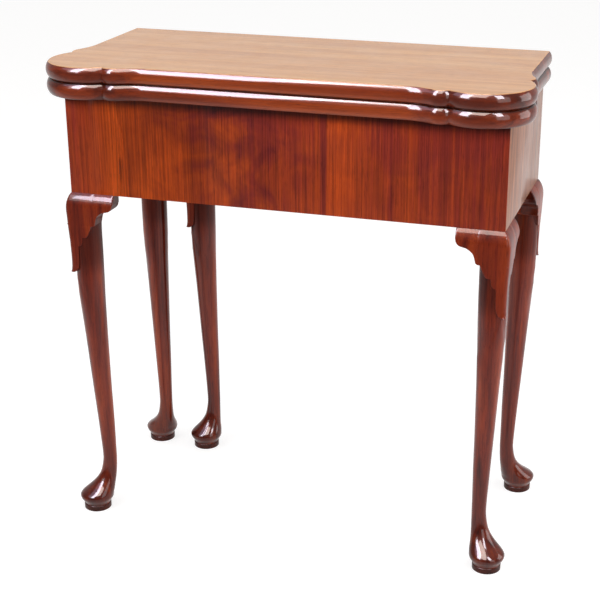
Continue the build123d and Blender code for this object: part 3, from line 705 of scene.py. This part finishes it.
def hinge_beds(mesh, upper):
    """Cut the beds of both hinges into a leaf's mesh."""
    work = add_object("leaf_work", mesh)
    tools = []
    for side in (-1, 1):
        middle_z = JOINT_LEVEL + (1 if upper else -1) * PLATE_HEIGHT / 2
        plate = Matrix.Translation(
            Vector((side * HINGE_X, LEAF_BACK + CASE_Y, middle_z)) * MM
        ) @ Matrix.Diagonal((2 * HINGE_HALF * MM, 2 * PLATE_DEPTH * MM, PLATE_HEIGHT * MM, 1))
        tools.append(cutter("plate_bed", lambda s: bmesh.ops.create_cube(s, size=1, matrix=plate)))
        round_bed = Matrix.Translation(
            Vector((side * HINGE_X, LEAF_BACK + CASE_Y + HINGE_OFFSET, JOINT_LEVEL)) * MM
        ) @ Matrix.Rotation(pi / 2, 4, "Y")
        tools.append(cutter("knuckle_bed", lambda s: bmesh.ops.create_cone(
            s, cap_ends=True, segments=40, radius1=KNUCKLE_RADIUS * MM,
            radius2=KNUCKLE_RADIUS * MM, depth=(2 * HINGE_HALF + KNUCKLE_PLAY) * MM,
            matrix=round_bed)))
    for tool in tools:
        cut = work.modifiers.new("bed", "BOOLEAN")
        cut.operation = "DIFFERENCE"
        cut.solver = "EXACT"
        cut.object = tool
    result = worked(work, mesh.name)
    for tool in tools:
        bpy.data.objects.remove(tool)
    return result


print("each leaf gets beds at", -HINGE_X, "and", HINGE_X, "mm")

# %% [markdown]
# A leaf wears three finishes, which its faces get by their place and direction: bleached on
# top of the table, unfaded where the two leaves meet, and deep red on the edges. The upper
# leaf rides on the body that folds, and the lower one belongs to the case.

# %% Leaves
HALF_GAP = 0.2
for leaf_name, leaf_middle, leaf_body in (
    ("upper_leaf", JOINT_LEVEL + HALF_GAP + LEAF_HALF, "leaf"),
    ("lower_leaf", JOINT_LEVEL - HALF_GAP - LEAF_HALF, "case"),
):
    leaf_rings = [leaf_ring(g, leaf_middle + z, ease) for g, z, ease in leaf_profile()]
    leaf_mesh = hinge_beds(ring_mesh(leaf_name + "_board", leaf_rings, True), leaf_body == "leaf")
    soften(leaf_mesh, 32)
    for face in leaf_mesh.polygons:
        if face.center.z > (TOP_LEVEL - 0.5) * MM and face.normal.z > 0.8:
            face.material_index = 1
        elif abs(face.center.z / MM - JOINT_LEVEL) < 0.5 and abs(face.normal.z) > 0.95:
            face.material_index = 2
    add_piece(leaf_name + "_board", leaf_mesh, leaf_body,
              [leaf_wood, top_wood, inner_wood], [leaf_name])
    print(leaf_name, len(leaf_mesh.vertices), "points")

# %% [markdown]
# A leg starts as a square post between the rails. Below the case it stands out as a square
# knee with a rounded ledge, and from there a thin carved apron, the lappet, runs down two
# faces in steps to a tongue on the corner. Under it the shank is nearly round and tapers to
# a thin ankle, set in from the corner, and spreads into a round pad that points outward on
# a low dark shoe. Every section here is one loop of points: half of the lappet's face from
# the corner to its edge, the small wall behind it, the body of the leg, and the same again
# mirrored. Following the lappet's edge with the points keeps that edge crisp with few faces.

# %% Leg tables
LEG_HEIGHT, CASE_TOP = 528.5, 678.0
KNEE, SHANK_INSET = 36.5, 15.0
# Depth below the case, and how far the knee and lappet stand out of the case's faces.
KNEE_PROUD = [
    (0, 0.0), (1, 0.97), (2, 1.85), (3, 2.63), (5, 3.9), (8, 5.43), (10.5, 6.55), (13.5, 7.6),
    (16, 8.25), (19, 8.7), (22, 8.93), (25, 9.01), (28, 9.0), (34, 8.7), (50, 8.2), (75, 7.0),
    (100, 6.4), (116, 6.6), (123, 7.4),
]
# Depth, and radius of the rounded corner between the two carved faces.
ARRIS = [(0, 0.8), (6, 3.4), (14, 6.0), (20, 6.6), (60, 6.6), (124, 6.6)]
# Depth, and how far the lappet reaches from the corner along each face.
LAPPET_EDGE = [
    (48.6, 31.6), (51, 30.9), (55, 29.3), (59, 27.6), (62.5, 25.8), (65, 24.1), (66.6, 22.6),
    (67.0, 21.8), (67.3, 16.6), (68.2, 16.1), (71, 15.9), (75, 15.4), (78.5, 14.2), (80.4, 12.8),
    (81.0, 12.0), (81.4, 9.0), (82.4, 8.6), (88, 8.5), (96, 8.3), (104, 8.2), (110, 7.8),
    (115, 6.8), (118.5, 5.4), (121, 3.4), (122.6, 1.0), (123.2, -0.8),
]
# Level, radius and inset from the corner of the shank, foot and shoe.
BODY_ROWS = [
    (0, 20.6, 5.5), (0.5, 21.3, 5.5), (8.4, 21.4, 5.5), (8.9, 21.0, 5.5), (9.2, 20.4, 5.5),
    (9.8, 20.7, 5.5), (10.6, 21.2, 5.5), (12, 21.6, 5.5), (13.5, 22.3, 5.5), (15, 23.4, 5.5),
    (17, 24.8, 5.5), (19.5, 26.0, 5.5), (22, 26.55, 5.5), (24, 26.5, 5.6), (27, 25.6, 6.7),
    (30, 24.2, 8.5), (34, 21.9, 10.9), (38, 19.6, 13.1), (42, 17.6, 15.2), (46, 16.0, 17.0),
    (50, 14.6, 18.6), (56, 13.1, 20.4), (62, 12.2, 21.5), (70, 11.5, 22.5), (78, 11.0, 23.1),
    (84, 10.9, 23.4), (93, 11.0, 23.3), (102, 11.15, 23.1), (115, 11.5, 22.8), (130, 11.95, 22.4),
    (150, 12.6, 21.9), (175, 13.3, 21.1), (200, 14.0, 20.2), (230, 14.9, 19.3), (265, 16.0, 18.3),
    (300, 17.1, 17.3), (335, 18.5, 16.2), (365, 19.8, 15.3), (391, 20.7, 15.0),
]
LEDGE_DEPTHS = [0, 1, 2, 3, 5, 8, 10.5, 13.5, 16, 19, 22, 25, 28]
KNEE_DEPTHS = LEDGE_DEPTHS + [31, 35, 40, 45, 47.2]
SHOE_TOP = 9.0
ANKLE_LEVEL, FOOT_INSET, ANKLE_INSET = 84.0, 5.5, 23.4


def read_off(table, place):
    """The value of a table of pairs at a place, also between its entries."""
    return float(np.interp(place, *zip(*table)))


def body_radius(angle, size, squareness):
    """Radius of a circle, or of a rounded square when squareness is above 2."""
    flat = abs(cos(angle))**squareness + abs(sin(angle))**squareness
    return size / flat**(1 / squareness)


print("the knee stands out by", read_off(KNEE_PROUD, 20), "mm at a depth of 20 mm")

# %% [markdown]
# A section through the knee has two flat carved faces with a rounded corner between them,
# and the leg's own body behind. A section through the shank is round. Both kinds have the
# same number of points in the same order, so that one skin can run over all of them.

# %% Leg sections
FACE_POINTS, BODY_POINTS = 13, 33


def carved_half(edge, out_side, out_front, corner, ease, wall_foot):
    """From the corner's middle along the front face to the foot of the wall behind it."""
    points = []
    for angle in (225, 240, 255, 270):
        turn = radians(angle)
        points.append((corner - out_side + corner * cos(turn),
                       corner - out_front + corner * sin(turn)))
    flat_start, flat_end = corner - out_side, edge - ease
    for share in (0.3, 0.6, 0.85, 1.0):
        points.append((flat_start + share * (flat_end - flat_start), -out_front))
    for angle in (300, 330, 360):
        turn = radians(angle)
        points.append((edge - ease + ease * cos(turn), ease - out_front + ease * sin(turn)))
    top = points[-1]
    points.append((edge, (top[1] + wall_foot) / 2))
    points.append((edge, wall_foot))
    return points


def carved_ring(level, edge, outs, corner, ease, centre, radius_at, foot_angle):
    """A section with carved faces: both halves, and the leg's body between their walls."""
    foot = centre + radius_at(foot_angle) * sin(foot_angle)
    front = carved_half(edge, outs[0], outs[1], corner, ease, foot)
    side = carved_half(edge, outs[1], outs[0], corner, ease, foot)
    last = pi / 2 - foot_angle
    body = []
    for index in range(1, BODY_POINTS + 1):
        angle = foot_angle + (last - foot_angle) * index / (BODY_POINTS + 1)
        radius = radius_at(angle)
        body.append((centre + radius * cos(angle), centre + radius * sin(angle)))
    loop = front + body + [(v, u) for u, v in reversed(side[1:])]
    return [(u, v, level) for u, v in loop]


def round_ring(level, radius, centre, face_angle):
    """A round section whose points match the carved ones, face_angle apart at the corner."""
    first = radians(-135)
    last = first + face_angle
    angles = [first + (last - first) * k / (FACE_POINTS - 1) for k in range(FACE_POINTS)]
    far = pi / 2 - last
    angles += [last + (far - last) * k / (BODY_POINTS + 1) for k in range(1, BODY_POINTS + 1)]
    angles += [pi / 2 - angle for angle in reversed(angles[1:FACE_POINTS])]
    return [(centre + radius * cos(a), centre + radius * sin(a), level) for a in angles]


RING_POINTS = 2 * FACE_POINTS - 1 + BODY_POINTS
print("every section has", RING_POINTS, "points")

# %% [markdown]
# The sections are stacked from the top of the post down to the floor. Behind the carving
# the body changes from a square post to a round shank, so its squareness follows the depth.
# Below the lappet the points spread evenly round the shank, a little more at each section.
# The gate leg is the same leg with its foot and ankle set in differently.

# %% Whole leg
POST_CORNER, POST_EASE, CARVED_EASE, LEDGE_SEAM = 0.3, 0.4, 0.25, 0.05
KNEE_SQUARENESS = [(26, 12.0), (33, 5.0), (40, 3.0), (48, 2.2)]
TRULY_SQUARE = 11.9
SHOULDER_SQUARENESS = [(48, 2.2), (60, 2.0)]
SHOULDER_RADIUS = [(391, 20.7), (432, 21.0)]
# Where the carved walls meet the body, in degrees behind the faces, by squareness.
WALL_LEAN = [(2.0, -0.5), (12.0, -25.0)]
# The small lip under the knee: depth and inset, then how far it stands out, and its corner.
KNEE_LIP, LIP_OUT, LIP_CORNER = [(47.8, 0.3), (48.1, 0.9)], 8.2, 4.7
LAPPET_END, LAPPET_END_RADIUS, BLEND_LENGTH = 123.5, 20.8, 70.0
# Near the lappet's edge its corner and easing shrink with what is left of its width.
CORNER_SHARE, EDGE_EASE, EDGE_SHARE = 0.7, 0.8, 0.2
EVEN_ANGLE = 2 * pi * (FACE_POINTS - 1) / RING_POINTS


def eased_inset(level, inset, foot_inset, ankle_inset):
    """Move a section's inset, so that the foot and ankle stand where this leg has them."""
    if level < ANKLE_LEVEL:
        share = (inset - FOOT_INSET) / (ANKLE_INSET - FOOT_INSET)
        return foot_inset + share * (ankle_inset - foot_inset)
    share = (inset - SHANK_INSET) / (ANKLE_INSET - SHANK_INSET)
    return SHANK_INSET + share * (ankle_inset - SHANK_INSET)


def leg_rings(post_side, post_front, post_top, foot_inset=FOOT_INSET, ankle_inset=ANKLE_INSET):
    """All sections of a leg in its corner's own directions, from the top down."""
    centre = SHANK_INSET
    rings = []

    def square(level, outs, corner, inset=0.0):
        sides = read_off(KNEE_SQUARENESS, LEG_HEIGHT - level)
        lean = radians(read_off(WALL_LEAN, sides))
        reach = KNEE - centre - inset

        def radius_at(angle):
            if sides > TRULY_SQUARE:
                return reach / max(abs(cos(angle)), abs(sin(angle)))
            return body_radius(angle, reach, sides)

        rings.append(carved_ring(level, KNEE - inset, outs, corner, CARVED_EASE, centre,
                                 radius_at, lean))

    outs = (-post_side, -post_front)
    square(post_top, (outs[0] - POST_EASE, outs[1] - POST_EASE), POST_CORNER, POST_EASE)
    square(post_top - POST_EASE, outs, POST_CORNER)
    square(LEG_HEIGHT + LEDGE_SEAM, outs, POST_CORNER)
    for depth in KNEE_DEPTHS:
        out = read_off(KNEE_PROUD, depth)
        square(LEG_HEIGHT - depth, (out, out), read_off(ARRIS, depth))
    for depth, inset in KNEE_LIP:
        square(LEG_HEIGHT - depth, (LIP_OUT, LIP_OUT), LIP_CORNER, inset)
    for depth, edge in LAPPET_EDGE:
        level = LEG_HEIGHT - depth
        squareness = read_off(SHOULDER_SQUARENESS, depth)
        size = read_off(SHOULDER_RADIUS, level)

        def radius_at(angle, size=size, squareness=squareness):
            return body_radius(angle, size, squareness)

        reach = (edge - centre) / size
        dip = size * (1 - abs(reach)**squareness)**(1 / squareness)
        foot_angle = atan2(-dip, edge - centre)
        out = read_off(KNEE_PROUD, depth)
        corner = min(read_off(ARRIS, depth), (edge + out) * CORNER_SHARE)
        ease = min(EDGE_EASE, (edge + out) * EDGE_SHARE)
        rings.append(carved_ring(level, edge, (out, out), corner, ease, centre, radius_at,
                                 foot_angle))
    last_angle = foot_angle + radians(135)
    start_level = LEG_HEIGHT - LAPPET_END
    rings.append(round_ring(start_level, LAPPET_END_RADIUS, SHANK_INSET, last_angle))
    for level, radius, inset in reversed(BODY_ROWS):
        share = min(1.0, (start_level - level) / BLEND_LENGTH)
        inset = eased_inset(level, inset, foot_inset, ankle_inset)
        rings.append(round_ring(level, radius, inset,
                                last_angle + (EVEN_ANGLE - last_angle) * share))
    return rings


print("a leg has", len(leg_rings(0.0, 0.0, CASE_TOP)), "sections")

# %% [markdown]
# The four corner legs are one leg, turned and mirrored into its corners. The front ones are
# cut back by two millimetres for the veneer of the front, and all of them for that of the
# sides. The fifth leg swings with the gate and stands a little lower than the case. Shoe,
# carving ground and the rest of the leg get their finishes by their place in the rings, and
# the carving ground is darkened with painted shade.

# %% Legs in their places
VENEER = 2.0
GATE_TOP, GATE_FOOT_INSET, GATE_ANKLE_INSET = 677.5, 9.5, 21.3
GATE_CORNER = (-241.6, 116.2)
# The rings above the lappet are three of the post, those of the knee and those of its lip.
FIRST_LAPPET_ROW = 3 + len(KNEE_DEPTHS) + len(KNEE_LIP)
ROWS_UNDER_LAPPET = 8
GROUND_ROWS = range(FIRST_LAPPET_ROW, FIRST_LAPPET_ROW + len(LAPPET_EDGE) + ROWS_UNDER_LAPPET)
GROUND_COLUMNS = range(FACE_POINTS - 3, RING_POINTS - FACE_POINTS + 3)


def leg_mesh(name, rings, to_world, flip):
    """Set the sections in their corner of the table and give each part its finish."""
    placed = [[to_world(u, v, z) for u, v, z in ring] for ring in rings]
    mesh = ring_mesh(name, placed, flip)
    soften(mesh)
    for face in mesh.polygons:
        row, column = divmod(face.index, RING_POINTS)
        if face.center.z < SHOE_TOP * MM:
            face.material_index = 1
        # The carving ground beside the lappets gets the finish with painted shade.
        elif row in GROUND_ROWS and column in GROUND_COLUMNS:
            face.material_index = 2
    return mesh


def corner_place(side_x, side_y):
    """Turn a corner's own directions into the table's."""
    return lambda u, v, z: (side_x * (CASE_HALF_WIDTH - u),
                            side_y * (CASE_HALF_DEPTH - v) + CASE_Y, z)


leg_finishes = [leg_wood, shoe_wood, carving_shade_wood]
CORNERS = {"front_left": (-1, -1), "front_right": (1, -1),
           "rear_left": (-1, 1), "rear_right": (1, 1)}
for corner_name, (side_x, side_y) in CORNERS.items():
    corner_rings = leg_rings(VENEER, VENEER if side_y < 0 else 0.0, CASE_TOP)
    corner_mesh = leg_mesh(corner_name + "_cabriole", corner_rings, corner_place(side_x, side_y),
                           side_x * side_y > 0)
    add_piece(corner_name + "_cabriole", corner_mesh, "case", leg_finishes,
              [corner_name + "_leg"])
gate_rings = leg_rings(0.0, 0.0, GATE_TOP, GATE_FOOT_INSET, GATE_ANKLE_INSET)
gate_mesh = leg_mesh("gate_cabriole", gate_rings, lambda u, v, z: (
    u + GATE_CORNER[0], v + GATE_CORNER[1] + CASE_Y, z), True)
add_piece("gate_cabriole", gate_mesh, "gate", leg_finishes, ["gate_leg"])
print("leg", len(gate_mesh.vertices), "points")

# %% [markdown]
# Beside each knee a small bracket wing is glued on, which carries the ledge along the rail
# and ends in a scroll. Its face follows the knee's profile from the rail down, and its lower
# edge is cut to a scalloped line. So it is drawn in upright slices from knee to tip. Its
# underside, its back and its tip are darkened with the carving ground's painted shade.

# %% Bracket wings
# Distance from the corner along the face, and depth of the scalloped edge there.
WING_EDGE = [(36.5, 47.3), (38.2, 46.8), (38.9, 43.5), (40.0, 38.5), (41.5, 34.5), (43.5, 31.6),
             (47, 28.6), (51.6, 25.9), (57, 24.6), (62.0, 23.3), (64.6, 21.0), (66.6, 17.8)]
WING_BACK, WING_EASE, WING_FOOT = 17.0, 0.7, 1.2
# The tip is rounded: the same two, and how far the face is set back.
WING_TIP = [(67.2, 14.6, 0.15), (67.7, 13.9, 0.7), (67.95, 13.2, 1.5), (68.0, 12.5, 2.2)]


def wing_ring(across, drop, inset):
    """An upright slice of a wing: down its face, then up its back."""
    ledge = min(1.0, (drop - WING_FOOT) / LEDGE_DEPTHS[-1])
    depths = [ledge * depth for depth in LEDGE_DEPTHS]
    depths += [depths[-1] + share * (drop - 0.6 - depths[-1]) for share in (0.3, 0.6, 1.0)]
    ring = [(across, inset - read_off(KNEE_PROUD, depth), LEG_HEIGHT - depth)
            for depth in depths]
    face = inset - read_off(KNEE_PROUD, drop)
    ring.append((across, face + 0.2, LEG_HEIGHT - drop + 0.2))
    ring.append((across, face + WING_EASE, LEG_HEIGHT - drop))
    ring.append((across, WING_BACK, LEG_HEIGHT - drop))
    ring.append((across, WING_BACK, LEG_HEIGHT))
    return ring


def wing_mesh(name, to_world, flip):
    """A bracket wing, in the directions of its corner."""
    spots = [(across, drop, 0.0) for across, drop in WING_EDGE] + WING_TIP
    rings = [[to_world(*point) for point in wing_ring(*spot)] for spot in spots]
    mesh = ring_mesh(name, rings, flip)
    soften(mesh)
    around = len(rings[0])
    for face in mesh.polygons:
        row, column = divmod(face.index, around)
        # Underside, back and tip get the finish with painted shade.
        if column in (around - 3, around - 2) or row == len(rings) - 1:
            face.material_index = 1
    return mesh


wing_finishes = [leg_wood, carving_shade_wood]
for corner_name, (side_x, side_y) in CORNERS.items():
    place = corner_place(side_x, side_y)
    flipped = side_x * side_y < 0
    wing_name = corner_name + "_side_wing"
    side_mesh = wing_mesh(wing_name, lambda u, v, z: place(v, u, z), flipped)
    add_piece(wing_name, side_mesh, "case", wing_finishes,
              [corner_name + "_side_bracket"])
    if side_y < 0:
        wing_name = corner_name + "_front_wing"
        front_mesh = wing_mesh(wing_name, place, not flipped)
        add_piece(wing_name, front_mesh, "case", wing_finishes,
                  [corner_name + "_front_bracket"])
print("wing", len(side_mesh.vertices), "points")

# %% [markdown]
# Rails, blocks and veneer have the right shape already, but no real edge is knife sharp.
# A copy of each solid gets a narrow bevel, which catches the light along the edge and
# leaves a fine groove at the seams between sheets of veneer. Sawn blocks are eased most.

# %% Eased copies of the case's solids
def eased(node, body, material, width):
    """Stand a softened copy of a solid in its place."""
    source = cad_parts[node].data
    shape = bmesh.new()
    shape.from_mesh(source)
    bmesh.ops.remove_doubles(shape, verts=shape.verts, dist=0.01 * MM)
    bmesh.ops.dissolve_limit(shape, angle_limit=radians(1), verts=shape.verts, edges=shape.edges)
    mesh = bpy.data.meshes.new(node + "_eased")
    shape.to_mesh(mesh)
    shape.free()
    work = add_object("eased_work", mesh)
    bevel = work.modifiers.new("ease", "BEVEL")
    bevel.width = width * MM
    bevel.segments = 2
    bevel.limit_method = "ANGLE"
    bevel.angle_limit = radians(40)
    result = worked(work, node + "_eased")
    soften(result)
    add_piece(node + "_eased", result, body, [material], [node])
    print(node, "eased by", width, "mm:", len(result.polygons), "faces")


eased("front_veneer", "case", front_veneer_wood, 0.22)
for veneer in ("left_veneer", "right_veneer"):
    eased(veneer, "case", side_veneer_wood, 0.3)
for rail in ("front_rail", "inner_back_rail", "outer_back_rail"):
    eased(rail, "case", oak_along_x, 0.6)
for rail in ("left_rail", "right_rail"):
    eased(rail, "case", oak_along_y, 0.6)
eased("gate_rail", "gate", oak_along_x, 0.6)
eased("corner_blocks", "case", oak_upright, 1.2)
eased("top_blocks", "case", oak_along_x, 1.0)

# %% [markdown]
# Two pegs hold the gate leg to its rail. A riven peg is never quite flush: it stands a
# little proud with a worn, domed end.

# %% Pegs
PEG_RADIUS, PEG_SIDES, PEG_PROUD = 4.0, 28, 0.3


def peg_mesh(name, spots, radius, start, end):
    """Pegs along Y with a domed outer end, all in one mesh."""
    mesh = bpy.data.meshes.new(name)
    shape = bmesh.new()
    turns = [2 * pi * k / PEG_SIDES for k in range(PEG_SIDES)]
    steps = [(start, radius), (end - 0.5, radius), (end - 0.15, radius * 0.86),
             (end, radius * 0.6), (end + 0.1, radius * 0.25)]
    for x, z in spots:
        loops = []
        for y, size in steps:
            loops.append([shape.verts.new(
                ((x + size * cos(a)) * MM, y * MM, (z + size * sin(a)) * MM)) for a in turns])
        for low, high in zip(loops, loops[1:]):
            for k in range(PEG_SIDES):
                following = (k + 1) % PEG_SIDES
                shape.faces.new((low[k], high[k], high[following], low[following]))
        shape.faces.new(loops[0])
        shape.faces.new(list(reversed(loops[-1])))
    bmesh.ops.recalc_face_normals(shape, faces=shape.faces)
    shape.to_mesh(mesh)
    shape.free()
    soften(mesh, 40)
    return mesh


peg_low, peg_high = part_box("gate_pegs")
peg_x = (peg_low.x + peg_high.x) / 2 / MM
peg_spots = [(peg_x, peg_low.z / MM + PEG_RADIUS), (peg_x, peg_high.z / MM - PEG_RADIUS)]
pegs = peg_mesh("gate_leg_pegs", peg_spots, PEG_RADIUS, peg_low.y / MM,
                peg_high.y / MM + PEG_PROUD)
add_piece("gate_leg_pegs", pegs, "gate", [oak_upright], ["gate_pegs"])
print("pegs", len(pegs.vertices), "points")

# %% [markdown]
# The brass hinges, their screws and the iron pin are the model's own solids. They only need
# their metal.

# %% Metal parts
def dress(node, material):
    """Give a solid of the model its finish."""
    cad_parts[node].data.materials.clear()
    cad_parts[node].data.materials.append(material)
    soften(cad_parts[node].data)


for hinge in ("left_hinge", "right_hinge"):
    for part in ("upper_plate", "lower_plate", "pin"):
        dress(f"{hinge}_{part}", brass)
for screws in ("upper_hinge_screws", "lower_hinge_screws"):
    dress(screws, brass)
for node in ("gate_pin", "top_screws", "back_rail_screws"):
    dress(node, iron)
print("brass and iron on", brass.users + iron.users, "pieces")

# %% [markdown]
# The floor is a plain pale sheet. To the eye it is as white as the background, and it keeps
# the table's own soft shadow. For the light that it throws back it is ordinary matt paper.
# In polish its front part is darker, like the dim end of the room above it, so that the
# fronts of the legs keep their colour.

# %% Floor
FLOOR_REACH = 9.0
DIM_FROM, DIM_TO, DIM_SHARE = -0.4, -1.0, 0.8
PAPER, SEEN_PAPER, SEEN_GLOW, DIM_PAPER = 0.78, 0.42, 0.72, 0.2


def studio_floor():
    """A large plane with a white face that still takes a shadow."""
    material, tree = new_material("matt_white_paper")
    path = add(tree, "ShaderNodeLightPath")
    first = add(tree, "ShaderNodeMath", {"operation": "MAXIMUM"},
                _0=path.outputs["Is Camera Ray"], _1=path.outputs["Is Glossy Ray"])
    seen = add(tree, "ShaderNodeMath", {"operation": "MAXIMUM"},
               _0=first, _1=path.outputs["Is Transmission Ray"])
    paper = add(tree, "ShaderNodeBsdfDiffuse", Color=grey(PAPER))
    thin = add(tree, "ShaderNodeBsdfDiffuse", Color=grey(SEEN_PAPER))
    glow = add(tree, "ShaderNodeEmission", Color=grey(1), Strength=SEEN_GLOW)
    white = add(tree, "ShaderNodeAddShader", _0=thin, _1=glow)
    place = add(tree, "ShaderNodeTexCoord").outputs["Object"]
    depth = add(tree, "ShaderNodeSeparateXYZ", _0=place).outputs["Y"]
    front = add(tree, "ShaderNodeMapRange", _0=depth, _1=DIM_FROM, _2=DIM_TO, _3=0.0,
                _4=DIM_SHARE)
    dim = add(tree, "ShaderNodeMath", {"operation": "MULTIPLY"},
              _0=front, _1=path.outputs["Is Glossy Ray"])
    dark = add(tree, "ShaderNodeBsdfDiffuse", Color=grey(DIM_PAPER))
    mirrored = add(tree, "ShaderNodeMixShader", _0=dim, _1=white, _2=dark)
    whole = add(tree, "ShaderNodeMixShader", _0=seen, _1=paper, _2=mirrored)
    add(tree, "ShaderNodeOutputMaterial", Surface=whole)
    mesh = bpy.data.meshes.new("floor")
    reach = FLOOR_REACH
    mesh.from_pydata([(-reach, -reach, 0), (reach, -reach, 0), (reach, reach, 0),
                      (-reach, reach, 0)], [], [(0, 1, 2, 3)])
    mesh.materials.append(material)
    floor = add_object("floor", mesh)


studio_floor()
print("floor", 2 * FLOOR_REACH, "m wide")
